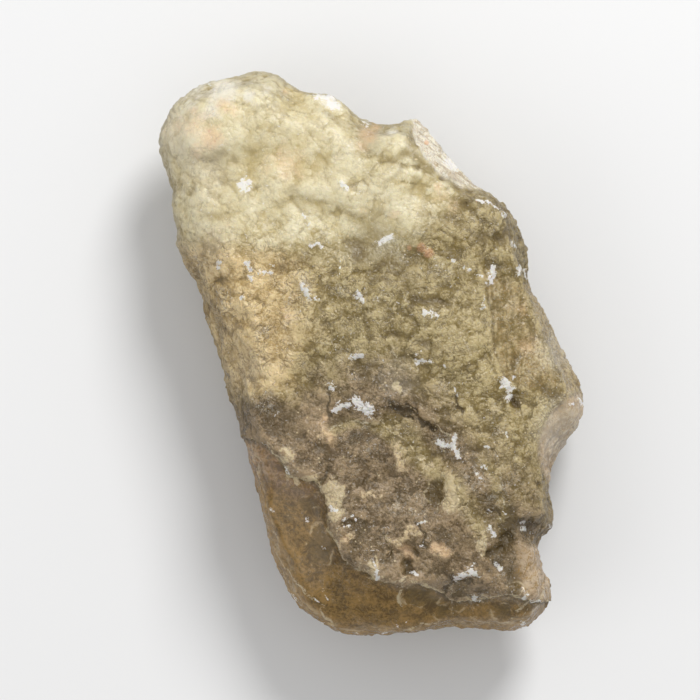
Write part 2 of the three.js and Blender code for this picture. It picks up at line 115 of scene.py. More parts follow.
# Ridges that catch the light and hollows in shade, raised and sunk in the relief and also painted lighter
# and darker in the glass (painted light and shade): half width, tone from -1 (dark) to 1, then the line
strokes = [
    (1, -0.55, (-29.5, 32.7), (-26, 32.2), (-24.2, 33)), (0.8, -0.4, (-20.8, 34), (-19.5, 33.3)),
    (1, -0.5, (-31.8, 27.3), (-30.2, 26.8)), (0.8, -0.5, (-26.3, 26.7), (-25.2, 26.2)),
    (0.9, -0.35, (-15.8, 24.7), (-12, 25.4), (-8, 24.8)), (0.8, -0.4, (-5, 23.6), (-1.5, 22.2)),
    (0.9, -0.35, (-18, 23.5), (-14, 22.8)), (1, -0.35, (-28, 22.5), (-24, 22.8)),
    (1.3, -0.8, (-3.8, 18.6), (-2, 17.5), (-2.2, 16.3)), (0.9, -0.4, (-9.8, 19.5), (-8, 19.5)),
    (1, -0.5, (-15, 14.2), (-12.5, 15), (-10.5, 16.5)), (0.7, -0.35, (-27.5, 17.6), (-26, 17)),
    (0.7, -0.6, (-25.2, 12.2), (-24.7, 11.9)), (0.7, -0.5, (-6.6, 13.6), (-6, 13.3)),
    (0.9, -0.65, (0, 12), (1.8, 12.6), (2.6, 11.6)), (0.8, -0.5, (10, 13.8), (11.3, 13.6)),
    (0.6, -0.5, (11.2, 11.8), (12.6, 11.6)), (1, -0.7, (7.3, 9), (9, 8.4), (11, 9.2), (12.6, 8.2)),
    (0.8, -0.5, (-1.8, 7), (-1, 5.2), (0, 2.8)), (1, -0.45, (4, 3.5), (7, 2.8), (9, 1.6)),
    (1, -0.45, (10, 1.4), (13, 0.8)), (1, -0.4, (-14, 4), (-13.5, 2)),
    (0.8, -0.4, (-18, 3.5), (-17.5, 2.5)), (0.9, -0.5, (-24, 0.5), (-23.5, -1)),
    (0.8, -0.4, (-3, 27.8), (-2.2, 27.2)), (0.9, -0.5, (7.2, 28.6), (8.2, 26.8)),
    (0.7, -0.4, (-9, 32.8), (-7.8, 32.3)), (0.9, -0.6, (-1.3, 34), (-0.3, 33.4)),
    (0.9, -0.6, (2, 32.6), (4.2, 32.2), (5.2, 33)),
    (1.2, -0.8, (6.2, 35.6), (6.8, 33.5), (8.6, 31.2), (10.2, 30.4)), (0.7, -0.6, (11.4, 32.6), (12, 31.8)),
    (1.6, -0.8, (13, 28.8), (15.5, 26.8), (18, 25.6), (21.5, 25)),
    (1.2, -0.6, (19.5, 19.6), (21.5, 19.5), (23, 20.5)), (1.2, -0.6, (19.8, 14.8), (22, 14), (24.5, 12.8)),
    (0.9, -0.5, (15.5, 21.5), (17, 19.5), (18.5, 18)), (0.8, -0.4, (12.5, 22.5), (14, 21.5)),
    (0.9, -0.5, (27.6, 3.4), (28.6, 2)), (1.4, -0.6, (-19, -9), (-16, -8.7), (-13.5, -9.5)),
    (1.6, -0.6, (-16.5, -12), (-14, -11.5), (-12.5, -13.5)), (0.9, -0.5, (-8.5, -14.8), (-7.8, -15.5)),
    (0.9, -0.4, (-5, -6.5), (-4.5, -6.8)), (0.9, -0.5, (-6, -10.5), (-4, -11)),
    (0.7, -0.35, (3.6, -9.1), (5.6, -9.9)), (0.8, -0.35, (8.6, -11.6), (10.3, -12.6)),
    (0.8, -0.35, (1, -10.2), (2.5, -10.8)), (1, -0.45, (-3, -14), (-1, -14.5)),
    (0.7, -0.5, (7.2, -18.2), (7.6, -17)), (1.2, -0.45, (10.5, -21.3), (10.6, -23.8)),
    (1, -0.5, (16, -15.5), (17.5, -16)), (0.8, -0.4, (11, -16.5), (13, -17.3)),
    (0.9, -0.5, (-18.2, -18.8), (-17.5, -21)), (1, -0.45, (-9.8, -24.5), (-8.6, -26.5)),
    (0.8, -0.35, (-14.5, -26.5), (-13.5, -27)), (1.2, -0.5, (-3.2, -28), (-1.5, -30), (-3, -33.5)),
    (0.9, -0.6, (2, -33.8), (3.5, -33.5)), (0.7, -0.4, (5.8, -34.5), (6, -36.2)),
    (1.5, -0.5, (12, -30), (15, -31), (17.5, -31.5)), (1.3, -0.9, (22.8, -26), (23.5, -28.5), (22, -31)),
    (1, -0.8, (20.5, -33), (21.5, -34)), (1.6, -0.9, (23.3, -36), (24, -39), (22.5, -42)),
    (1.3, -0.8, (26, -42), (28.5, -42), (30, -40.5)), (1.2, -0.6, (6.5, -39.2), (9.5, -40.8), (13, -40.4)),
    (1.5, -0.4, (-6, -39), (-5, -42.5)), (1.3, -0.4, (5, -46.5), (12, -46)),
    (0.9, -0.6, (24.2, -0.5), (23.5, -2.5)), (1, -0.7, (29, -6), (31, -7.5), (31.5, -8.5)),
    (1.5, -0.4, (27, -17), (26, -19.5)), (1, -0.4, (24, -8.3), (24.3, -9)),
    (0.4, 0.9, (17.8, 14.3), (18.7, 9), (19.7, 1), (21.3, -3.7), (23.8, -5.9)),
    (0.8, 0.5, (-24.3, 42.5), (-23.8, 41.2)), (1, 0.5, (-20.2, 42.8), (-19.3, 41.6)),
    (0.8, 0.4, (-21.8, 37.5), (-21.5, 36)), (1.3, 0.35, (-14.5, 33.5), (-13.5, 32.5)),
    (0.7, 0.4, (-6.2, 33.5), (-6.2, 31.8)), (2.5, 0.4, (-3, 30), (3, 26), (6, 23)),
    (1, 0.4, (-20, 25), (-17.5, 23.2), (-15, 22.5)), (1.5, 0.5, (-13, 20.5), (-10.5, 20.5), (-9.8, 22)),
    (0.9, 0.5, (-7, 22.6), (-4.5, 21.6), (-2.8, 20.8)), (1, 0.3, (-11, 26.8), (-7, 26.8), (-3, 25)),
    (1, 0.5, (3.5, 23.5), (4.5, 23)), (1, 0.35, (1.5, 21), (3, 19)), (0.7, 0.7, (7.8, 18.3), (9.8, 16.4)),
    (1.5, 0.35, (9.5, 26.8), (12.5, 25.5)), (0.9, 0.4, (6.5, 13.5), (8.8, 11.5), (8.6, 10)),
    (0.8, 0.6, (8, 6.3), (9.6, 6)), (0.9, 0.5, (19.4, 13.8), (19.6, 12.8)),
    (0.8, 0.4, (18, 11.5), (18.5, 9), (18.8, 3)), (0.8, 0.5, (-1.8, 9.6), (-1.5, 8.4)),
    (0.8, 0.4, (-12, 12), (-10.5, 10.2)), (0.8, 0.5, (-14, 7), (-13.3, 5.8)),
    (1, 0.35, (-18, 15.5), (-16.5, 16.5)), (1.2, 0.3, (-20.5, 8), (-19, 4), (-18, -2), (-16, -6)),
    (0.8, 0.4, (7.8, -1), (9, -1.2)), (1, 0.4, (2, -1.5), (-2, -0.3)), (0.8, 0.6, (22.5, -4.5), (22.6, -7)),
    (0.9, 0.5, (28, 1), (29.6, -3), (30.5, -5)), (0.8, 0.6, (-8.8, -5.8), (-8.5, -7)),
    (0.8, 0.7, (-7.8, -11), (-6.6, -14)), (1, 0.7, (-15.5, -16.5), (-13, -17.5)),
    (0.7, 0.5, (-13, -19.3), (-9.5, -20.5)), (0.9, 0.8, (4.2, -15.8), (4.8, -18.8)),
    (0.8, 0.6, (11.5, -15), (13.8, -14.2), (13.6, -16.5)), (1.2, 0.25, (12.8, -21), (13.5, -24.5)),
    (1.2, 0.15, (14, -26), (16, -28), (19, -29.8)), (1, 0.8, (-6.5, -21.5), (-5.5, -24)),
    (1, 0.6, (-6.3, -28.9), (-4.5, -31)), (1, 0.6, (3.5, -31), (6, -30)),
    (0.9, 0.5, (10.5, -32.5), (12.5, -33.5)), (0.8, 0.6, (14, -37), (17, -36.2)),
    (0.7, 0.4, (0.5, -34.5), (1.2, -36.5)), (0.9, 0.4, (7.5, -37), (10, -37.5), (13, -38)),
    (1, 0.4, (17, -38), (17, -40.5)), (1.3, 0.5, (24.5, -33), (26.5, -37)),
    (1, 0.4, (-2.5, -23), (0.5, -23.3)), (0.8, 0.4, (-3.5, -26.8), (-1.5, -27)),
    (1.2, 0.3, (-15.5, -31), (-13.5, -36), (-12, -40), (-10.5, -42.5)),
]

# Round marks: x, y, radius, strength
marks = {
    "frost": [
        (-24.5, 43.6, 2.7, 0.8), (-28.5, 43.6, 2.2, 0.5), (-29.5, 41.3, 2.2, 0.45), (-25.8, 41, 2.2, 0.55),
        (-20.2, 42.3, 1.5, 0.7), (-17.5, 43.6, 1.5, 0.5), (-6.8, 41.5, 1.7, 0.6), (-30.8, 40.1, 1.7, 0.3),
        (-27.7, 39.3, 1.5, 0.3), (-22.2, 45, 1.5, 0.35), (8.2, 37, 1.7, 0.5), (9.8, 34, 2, 0.8),
        (12.3, 31.3, 1.8, 0.75), (14.8, 29.3, 1.3, 0.5), (3.5, 36.3, 1.3, 0.5), (-6, 32.3, 1.2, 0.35),
        (-3.5, 34, 1.5, 0.35),
    ],
    "salmon": [
        (-29.3, 37.6, 2.7, 0.5), (-26.5, 35.6, 2.3, 0.75), (-28.5, 34, 2, 0.45), (-24.3, 41, 1.7, 0.55),
        (-22.7, 40.1, 1.3, 0.45), (-29.3, 40.1, 1.2, 0.5), (-13.8, 31.3, 3.7, 0.45), (-16.8, 30.3, 2, 0.35),
        (-11.8, 29, 2, 0.35), (-9.3, 30.6, 1.5, 0.3), (-0.5, 36, 1.7, 0.8), (-1.5, 34.3, 1.3, 0.55),
        (0.7, 37.6, 1.2, 0.6), (11.5, 26, 1.8, 0.4), (13.5, 24.3, 2, 0.35), (11, 27.6, 1, 0.5),
        (3.8, 23.1, 1.2, 0.4), (-1.8, 23.6, 1.3, 0.25), (-13.8, 6.3, 1, 0.6), (-14.7, 7.3, 0.5, 0.6),
        (-12.5, 9.6, 0.7, 0.4), (-7.7, -10.7, 0.7, 0.7), (-6.8, -13.7, 0.8, 0.7), (-4.3, -30.5, 1, 0.55),
        (6.2, -32.2, 1, 0.5), (25.7, 1.5, 2, 0.45), (24.8, 7.3, 1.5, 0.35), (-26, 19.3, 2.3, 0.3),
        (-14.2, 43.5, 0.8, 0.5), (-23.5, 21.5, 2, 0.2), (-32.2, 37, 3, 0.35), (-25.5, 18.5, 4, 0.2),
    ],
    "orange": [
        (8.3, 17.5, 1, 0.9), (9.5, 16.6, 1, 0.95), (6.3, 17.5, 0.7, 0.7), (9.2, 35, 0.5, 1),
        (-26.7, 36.8, 0.4, 0.7), (-25.8, 35.1, 0.4, 0.7), (-26.5, 34.6, 0.3, 0.6), (-29.2, 38.1, 0.3, 0.7),
        (-10.8, 39.1, 0.3, 0.6), (-4.7, 18.8, 0.3, 0.5), (-14.7, 7.1, 0.3, 0.5),
    ],
    "cream": [
        (4.3, -16, 1, 0.7), (4.7, -18, 1, 0.75), (-6.5, -22.4, 1.7, 0.9), (-5.2, -23.5, 1.2, 0.8),
        (-13.5, -16.5, 1, 0.5), (-11.8, -19.5, 1, 0.45), (-9.8, -20.7, 0.8, 0.4), (13.1, -22.3, 1.6, 0.75),
        (13.4, -24.5, 1.5, 0.7), (12.5, -20.4, 1.3, 0.65), (8.8, -17.7, 0.8, 0.5), (10.2, -18.7, 1, 0.5),
        (7.5, -29.5, 1, 0.5), (4.2, -30.7, 0.8, 0.4), (21.7, 17.8, 1, 0.4), (14.8, -27.7, 1.3, 0.3),
        (27.8, 0.3, 1.8, 0.5), (28.3, -1.9, 1.5, 0.5), (19.5, 5.3, 0.8, 0.3), (19.7, 2.3, 0.8, 0.35),
    ],
    "pits": [
        (10.5, -21.7, 1.3, 0.6), (10.8, -23.4, 1.3, 0.6), (5.8, -34.5, 0.9, 0.9), (6.2, -35.9, 0.8, 0.8),
        (23.7, -7.7, 0.7, 1), (19.8, -33, 0.8, 1), (21, -34.7, 0.8, 0.9), (19.5, -36, 0.7, 0.8),
        (21.8, -32, 0.7, 0.8), (4.5, -9.2, 0.5, 0.5), (5.9, -9.7, 0.4, 0.5), (9.2, -12.2, 0.5, 0.5),
        (10.2, -12.5, 0.5, 0.4), (12, 29.3, 0.7, 0.8), (14.5, 27.8, 0.8, 0.7), (16.2, 27.3, 0.7, 0.6),
        (21, 19.5, 0.8, 0.7), (11.5, 8.6, 1.2, 0.5), (7.3, 9, 1, 0.4), (24.5, -28.7, 1, 0.6),
        (22.5, -30.2, 0.8, 0.6), (-6.8, 13.3, 0.8, 0.4), (-22.5, 32, 1, 0.3), (15.7, 24.8, 0.8, 0.5),
        (18.2, 24.6, 0.8, 0.4), (24, -6.9, 0.6, 0.6),
    ],
}

# Places where the lumps are flat: x, y, radius
calmPlaces = [(-20, 36, 14), (5, 26.5, 7), (-9, 32, 7)]

# Clear olive veins that run through the umber part: half width, then the points
veins = [
    (1.4, (-5.3, -12.2), (-3.2, -11.5), (-0.2, -11.5), (2, -12.9), (4.2, -14.9), (6.7, -16.4)),
    (2.4, (3.8, -11.9), (6.7, -14.2), (9.3, -17.4), (11.7, -20), (14.3, -22.2), (16.5, -25.4), (18, -29.5)),
    (1.5, (19, -19), (21, -24), (22, -28)),
]

# Crusts of cream and salmon: half width, salmon share, then the points
crusts = [
    (0.9, 0.7, (-7.7, -11.4), (-7.3, -13), (-6.2, -14.5)), (0.7, 0.1, (-15, -16), (-13.2, -17)),
    (0.8, 0.1, (-13.3, -20), (-11.5, -20.5), (-9.2, -20.7)), (1.4, 0.05, (-6.8, -22.2), (-5.5, -23)),
    (1, 0.05, (-5.8, -24.9), (-5.7, -26)), (0.8, 0.5, (4.3, -15.5), (4.8, -17.2), (5.2, -19.2)),
    (0.8, 0.3, (8.5, -17.2), (9.3, -18.7)), (1.1, 0.05, (12.7, -21.5), (13.3, -23), (13.4, -25.2)),
    (0.7, 0.5, (2.8, -30.7), (4.8, -30.4), (6.7, -29)), (0.8, 0.9, (4.7, -32), (6.2, -32.9)),
    (0.7, 0.9, (10.5, -31.7), (12.3, -32.9)), (0.8, 0.6, (-4.7, -29.7), (-3.5, -29.9), (-4.3, -31.9)),
    (0.6, 0.1, (0.3, -33.9), (1, -36.2)), (0.6, 0.5, (-1.5, -23), (0.7, -23.2)),
    (0.6, 0.2, (20, -8.2), (20.7, -9.5)), (0.7, 0.5, (-14.2, 6.5), (-13.3, 5.5)),
    (0.6, 0.2, (4, -4.9), (4.7, -6)), (0.8, 0.1, (18.5, -31), (18.8, -32.7)),
]

# Thin light lines, such as edges of flakes and cracks that catch the light, painted as highlights: half
# width, then the points
litSeams = [
    (0.12, (-14.7, -37.7), (-13.2, -39.7), (-11.5, -41.4)),
    (0.18, (-12.3, -38), (-10.8, -39.4), (-9.5, -41), (-8.5, -41.5)),
    (0.16, (-8.5, -42.4), (-6.8, -44), (-5.5, -45.7), (-5, -46.4)),
    (0.12, (-15.8, -32.4), (-14.5, -34.4), (-13.2, -36.4), (-12, -38.2)),
    (0.22, (-5, -32), (-4.8, -33.5), (-4.2, -34.5), (-2.8, -35), (-2, -35.9)),
    (0.16, (-1.8, -34.4), (-1.5, -35.7), (-0.8, -36.7)),
    (0.22, (0, -37.5), (1.8, -37.7), (3.8, -37.5), (5.5, -37.2)),
    (0.3, (5.3, -38), (4.7, -39), (4.5, -40.2), (5, -41.7)),
    (0.2, (6.8, -37.4), (8.8, -38.2), (10.8, -39), (12.5, -40.4)),
    (0.12, (13.5, -39), (13.3, -41), (13.7, -43.4)),
    (0.2, (24, -42.7), (25.5, -42.2), (26.7, -41.5), (27.8, -40.5), (28.5, -39.2)),
    (0.2, (25.2, -44), (27, -43), (28.2, -42)),
    (0.16, (4.5, -45.9), (8.2, -44.9), (11.5, -44.4), (15.3, -44.5)),
    (0.18, (16.5, -43.9), (19.5, -44.5), (22.3, -44.5), (24.5, -43.5)),
    (0.2, (-16.5, -15), (-15.2, -16.4), (-14, -18.4), (-13.2, -19.7)),
    (0.15, (2.2, -11.7), (3.8, -13.4), (5.7, -14.5), (7.3, -16.4)),
    (0.24, (-6.8, -29), (-6.2, -30.2), (-5, -31.2)),
    (0.2, (11.5, -19.9), (12.3, -21.4), (12.2, -23.9), (11.5, -25.2)),
    (0.14, (8.2, -9), (9.8, -10.4), (11.7, -12.4), (13, -13.7)),
    (0.2, (15.8, -31.9), (17.7, -31), (19.3, -32)), (0.14, (21, -19.4), (21.5, -22.7), (21.7, -25.2)),
    (0.16, (-2.2, 0.3), (0.2, 0.8), (2.8, 0.1), (4.5, -1)),
    (0.16, (13.5, 9), (13.8, 6.3), (14.7, 4), (15.8, 1.5), (16.8, -0.4)),
    (0.14, (-6.5, -12.4), (-5.2, -11.7), (-3.2, -11), (-0.8, -11.2)),
]

# Thin dark cracks: half width, then the points
cracks = [
    (0.4, (3.5, -8), (4, -8.9), (4.6, -9.5), (5.4, -9.6), (6, -9.2)),
    (0.22, (6, -9.2), (6.8, -10.2), (7.4, -10.6)),
    (0.35, (7.5, -11), (8.2, -11.9), (9.1, -12), (9.7, -12.5), (10.6, -12.4)),
    (0.16, (5.7, -8.3), (6.5, -8.9), (7.3, -9.8), (7.9, -10.9)),
    (0.15, (4.3, -10.2), (5.4, -10.6), (6.4, -11.5)), (0.15, (-7.2, -6.5), (-7.2, -8.5), (-6.8, -10.4)),
    (0.2, (7.5, -27.9), (8.2, -29.7), (9, -32)), (0.2, (14.2, -7.4), (14.7, -9.7)),
    (0.2, (-6.7, -19), (-7.5, -20.4), (-8.2, -21)), (0.4, (19.8, -32.9), (21.2, -32), (22.7, -30.7)),
    (0.6, (21.5, -28.4), (22.8, -27.9), (24.5, -27.7)), (0.4, (22, -30), (23.3, -28.9)),
    (0.3, (12.2, -39), (13.8, -37.7), (16.5, -37.7)), (0.2, (19.2, -25.7), (21.3, -26.4)),
    (0.3, (3.5, -32.7), (5.8, -32.4), (7.5, -33)), (0.3, (-4.3, -28), (-2.5, -27.2), (-1.3, -28)),
    (0.45, (23.5, -7.4), (24.3, -8.5)), (0.5, (6, -34.5), (6.5, -36)),
]

# Darker rounded windows and bubbles that show through: x, y and both radii
windows = [
    (8.2, -40.2, 2.8, 1.8), (15, -38.9, 1.5, 1.3), (14.8, -41.7, 1.2, 0.8), (21.3, -42.9, 1.7, 1.3),
    (19, -40.7, 1, 1), (23.5, -39, 1.3, 1.7), (26, -41.4, 1, 0.7), (10.8, -22.9, 1.5, 2.7),
    (11.7, -42.7, 1.5, 1.2), (6.2, -35.4, 0.7, 1.5), (-10.3, -24.4, 2, 1.3), (-8.5, -31.9, 2.3, 3.7),
]

# Broad lighter and darker places: x, y, radius, tone
tints = [
    (-31.8, 37.3, 5, 0.5), (-0.5, 35.6, 4, -0.35), (-26, 19, 5, 0.3), (-0.2, 17.3, 5, -0.5),
    (-19.3, -3, 5, 0.25), (4.8, -4.4, 5, 0.25), (31.2, 0.6, 4, 0.5), (-26.8, 30.6, 5, 0.45),
    (31.5, -12.7, 5, 0.6), (-3.5, 11, 4, 0.15), (21.5, -21, 5, -0.15), (4.8, 16, 4, -0.2),
    (-16, 15.3, 5, -0.15), (7.3, 11.5, 4, -0.2), (22.3, -29, 3, -0.4), (21, -34.4, 3, -0.35),
    (-2.5, -10.4, 3, 0.1), (16.5, 17.3, 5, 0.1), (-11.8, 4, 6, 0.1),
]

# Smears of white chalk: half width, then the points each one runs through
chalk = [
    (0.75, (-21.5, 27.8), (-20.4, 28.5)), (0.7, (-21.2, 27.5), (-20.3, 27.8)),
    (0.55, (-5, 28.3), (-3.8, 27)), (0.45, (-11.3, 22.8), (-10, 21.1)),
    (0.4, (-9.8, 17.8), (-8.8, 18.3), (-8, 17.3)), (0.25, (-5.2, 15.3), (-5.2, 12.6)),
    (0.45, (-25.3, 15.1), (-25.3, 14)), (0.6, (-20.5, 15), (-20, 14.1)),
    (0.45, (-18.3, 13.5), (-16.5, 13.5)), (0.3, (-17.2, 14.8), (-16, 14.6)),
    (0.5, (-20.2, 12.6), (-19.7, 12.3)), (0.5, (-21.3, 9.3), (-21.2, 9.1)),
    (0.6, (-11.2, 11.3), (-10.5, 9.3)), (0.5, (-9.3, 9.1), (-9, 8.8)), (0.6, (-2.2, 9.8), (-1.7, 9)),
    (0.55, (-3.2, -0.7), (-1.5, -0.2)), (0.6, (-6.7, -5.2), (-6.5, -5.5)),
    (0.6, (-6, -9.2), (-5, -8.4), (-3.8, -8.4)), (0.9, (-2.5, -8), (-0.2, -9.5)),
    (0.6, (1.5, 18.3), (3.5, 19.3)), (0.5, (17.5, 25.6), (18.8, 25.1)), (0.4, (19.2, 25.3), (21, 24.1)),
    (0.6, (19.5, 11.8), (20, 14.3)), (0.35, (13.3, 15.6), (14.3, 15.1)), (0.4, (15.3, 14.3), (16.3, 14)),
    (0.35, (17.2, 13.1), (18.2, 12.6)), (0.35, (17.2, 10.5), (17.3, 10.1)), (0.5, (18.2, 8.1), (18.3, 7.8)),
    (0.25, (18.7, 9.5), (18.3, 8)), (0.6, (8.8, 6.8), (10.5, 6.3)), (0.5, (7.2, -1.4), (8.8, -1)),
    (0.35, (9.8, -1.2), (11.2, -1.4)), (0.4, (12, -1.5), (12.3, -2)), (0.35, (7.3, -0.2), (8.2, 0.3)),
    (0.75, (21.8, -4.5), (22.8, -6)), (0.6, (22.5, -7.4), (23.2, -7)), (0.4, (23.3, -3.7), (23.5, -4)),
    (0.6, (11, -14.5), (12.2, -15.4), (13.5, -14.7), (13.8, -13.7)),
    (0.55, (13.3, -15), (14, -16.4), (14.3, -17.2)), (0.3, (13.7, -5.7), (14.3, -7)),
    (0.3, (18.8, -10.5), (20, -10.4)), (0.3, (22.3, -13), (22.5, -13.9)),
    (0.45, (17.2, -20), (17.8, -20.7)), (0.45, (18.2, -18.7), (18.8, -19)),
    (0.4, (29.8, -28.4), (30.2, -29.5)), (0.45, (25.2, -27.9), (25.3, -29.2)),
    (0.55, (19.5, -29), (20.2, -30)), (0.65, (14, -37.2), (15.2, -36.5), (16.5, -36), (17.2, -36.5)),
    (0.35, (15.5, -35.5), (17.2, -34.7)), (0.5, (21, -34.4), (21.5, -35.5)),
    (0.6, (17.2, -40.2), (17.5, -40.9)), (0.45, (25.3, -40.4), (25.8, -39.7)),
    (0.45, (26.3, -40.9), (27.5, -41)), (0.45, (6.8, -36), (7.7, -36.7)),
    (0.35, (-4.7, -27.4), (-3.2, -26.7), (-2.5, -27.5)), (0.25, (-1.8, -26.7), (-1.2, -28.4)),
    (0.4, (-5.2, -28.7), (-3.8, -28.4)), (0.45, (-6.3, -25.2), (-5.8, -25.9)),
    (0.4, (-10.8, -27.2), (-10.7, -27.7)), (0.35, (-16.7, -25.7), (-15.8, -26.2)),
    (0.3, (-8, -32), (-7.3, -32.4)), (0.3, (-13, -39.9), (-12.2, -41)), (0.2, (-11.2, -38.5), (-10.2, -39)),
    (0.25, (-9.8, -40), (-8.8, -41.2)), (0.2, (-8.2, -38.7), (-7.3, -41)),
    (0.3, (-8.5, -44.7), (-7.7, -44.7)), (0.3, (-2.3, -46.4), (-2, -46.4)),
    (0.35, (1.8, -46.4), (2.8, -46.4)), (0.25, (3.7, -44.7), (4.5, -45.2)),
    (0.25, (5.7, -44.4), (6.3, -44.4)), (0.45, (25.2, -44.7), (25.3, -46), (26.5, -45.2)),
    (0.25, (-17.7, -14.5), (-16.8, -15.5), (-14.7, -17.2), (-13.2, -19.4)),
    (0.5, (34.5, -7.7), (35.3, -8.4)), (0.4, (32.8, -8.2), (33.3, -8.4)),
    (0.35, (18.8, -15.5), (19.5, -15.4)), (0.4, (7.5, -28.2), (8.8, -27.9)),
    (0.35, (8.2, -31.9), (9, -31.2)), (0.25, (21.3, -26), (22.3, -26.5)),
    (0.25, (19.3, -25.7), (20.2, -26.5)), (0.25, (-1, -32.4), (1.2, -32.5)),
    (0.4, (0.2, -34), (0.8, -35.4), (1.2, -36.7)), (0.8, (-8.7, 42.6), (-6.8, 42.3)),
    (0.85, (-7.2, 41.5), (-5.7, 40.8)), (0.75, (13, 32), (13.7, 31)), (0.5, (-1.3, 38.6), (-0.8, 38.1)),
    (0.5, (24.7, 14.3), (24.5, 13.3)), (0.4, (25.7, 14), (26, 12.5)), (0.4, (23.2, 18.5), (23.8, 17.6)),
    (0.4, (21.7, 23.6), (22, 22.8)), (0.3, (-26.8, 44.6), (-26, 43.6)),
]


def sampled(points, value):
    return np.fromiter((value(Vector(p)) for p in points), float, len(points))


def swirl(points, size, offsets):  # a smooth random vector at each point
    return np.stack([sampled(points / size + k, noise.noise) for k in offsets], axis=1)


def smoothStep(value, low, high):
    t = np.clip((value - low) / (high - low), 0, 1)
    return t * t * (3 - 2 * t)


def toLine(points, line, closed=False):  # distance to a run of points, and the same signed, + on its right
    near = np.full(len(points), 1e9)
    side = np.zeros(len(points))
    ends = list(zip(line, line[1:] + line[:1])) if closed else list(zip(line, line[1:]))
    for (ax, ay), (bx, by) in ends:
        dx, dy = bx - ax, by - ay
        px, py = points[:, 0] - ax, points[:, 1] - ay
        t = np.clip((px * dx + py * dy) / max(dx * dx + dy * dy, 1e-9), 0, 1)
        gap = np.hypot(px - t * dx, py - t * dy)
        nearer = gap < near
        near = np.where(nearer, gap, near)
        side = np.where(nearer, np.sign(px * dy - py * dx) * gap, side)
    return near, side


def within(points, region):  # how far inside a closed run of points, negative outside
    inside = np.zeros(len(points), bool)
    x, y = points[:, 0], points[:, 1]
    for (ax, ay), (bx, by) in zip(region, region[1:] + region[:1]):
        if ay != by:
            crosses = (ay > y) != (by > y)
            inside ^= crosses & (x < (bx - ax) * (y - ay) / (by - ay) + ax)
    near = toLine(points, region, closed=True)[0]
    return np.where(inside, near, -near)


def insideRound(points, place):  # how far inside a circle, negative outside
    x, y, radius = place
    return radius - np.hypot(points[:, 0] - x, points[:, 1] - y)


def falloff(points, place):  # 1 at the middle of a round place, fading out past its radius
    x, y, radius = place
    return np.exp(-(np.hypot(points[:, 0] - x, points[:, 1] - y) / radius) ** 2)


def roundMarks(points, spots):
    total = np.zeros(len(points))
    for *place, strength in spots:
        total = np.maximum(total, strength * falloff(points, place))
    return total


def chalkMarks(points):  # 1 along the smears, fading out well beyond their width
    total = np.zeros(len(points))
    for halfWidth, *line in chalk:
        near = toLine(points, line)[0]
        total = np.maximum(total, min(0.65 + 0.5 * halfWidth, 1) - near / (2.6 * halfWidth))
    return np.clip(total, 0, 1)


def crustMarks(points):  # how much cream and how much salmon
    cream, salmon = np.zeros(len(points)), np.zeros(len(points))
    for halfWidth, share, *line in crusts:
        here = np.clip(1.1 - toLine(points, line)[0] / (1.7 * halfWidth), 0, 1)
        cream, salmon = np.maximum(cream, (1 - share) * here), np.maximum(salmon, share * here)
    return cream, salmon


def thinLines(points, lines):  # signed distance to the nearest line in its half widths, and where that holds
    nearest, gap = np.full(len(points), 1e9), np.zeros(len(points))
    for halfWidth, *line in lines:
        near, side = toLine(points, line)
        closer = near < nearest
        nearest = np.where(closer, near, nearest)
        gap = np.where(closer, side / halfWidth, gap)
    return np.clip(gap, -20, 20), smoothStep(-nearest, -1.3, -0.8)


def windowGaps(points):  # signed distance to the nearest window, negative inside
    gap = np.full(len(points), 2.0)
    for x, y, width, depth in windows:
        away = np.hypot((points[:, 0] - x) / width, (points[:, 1] - y) / depth)
        gap = np.minimum(gap, (away - 1) * min(width, depth))
    return gap


def strokeTones(points):
    total = np.zeros(len(points))
    for halfWidth, tone, *line in strokes:
        total += tone * np.exp(-(toLine(points, line)[0] / halfWidth) ** 2)
    return np.clip(total, -1, 1)


def lumps(points, size, seed, octaves=2):  # rounded lumps that meet in sharp creases, about 0 on average
    return sampled(points / size + seed, lambda p: noise.turbulence(p, octaves, True)) - 0.35


def domes(points, size, seed, lean):  # rounded lumps of many sizes that overlap, and their creases
    heights = np.empty(len(points))
    creases = np.empty(len(points))
    for i, p in enumerate(points):
        p = Vector(p) / size + seed
        gaps, centres = noise.voronoi(p)
        rises = []
        for gap, centre in zip(gaps, centres):
            reach = 0.55 + 0.5 * noise.cell(centre * 37.3)
            rises.append(reach * (1 - (gap / reach) ** 2) + lean.dot(p - centre))
        rises.sort(reverse=True)
        heights[i] = max(rises[0], -0.1)
        creases[i] = math.exp(-((rises[0] - max(rises[1], -0.1)) / 0.09) ** 2)
    return heights, creases


def evened(values, edges, rounds):  # values averaged with their neighbours' again and again
    a, b = edges[:, 0], edges[:, 1]
    count = np.bincount(a, minlength=len(values)) + np.bincount(b, minlength=len(values))
    for _ in range(rounds):
        total = np.bincount(a, values[b], len(values)) + np.bincount(b, values[a], len(values))
        values = 0.5 * values + 0.5 * total / count
    return values


def wantedEdge(middles, facing):  # how long an edge may be, by where it lies and how far up it faces
    rough = (toLine(middles, ledge)[1] < 1.2) | (middles[:, 1] > -10)
    wanted = np.where((facing > 0.3) & rough, relief["frontEdge"], relief["rimEdge"])
    return np.where((facing < -0.35) | (middles[:, 2] < 3), relief["backEdge"], wanted)


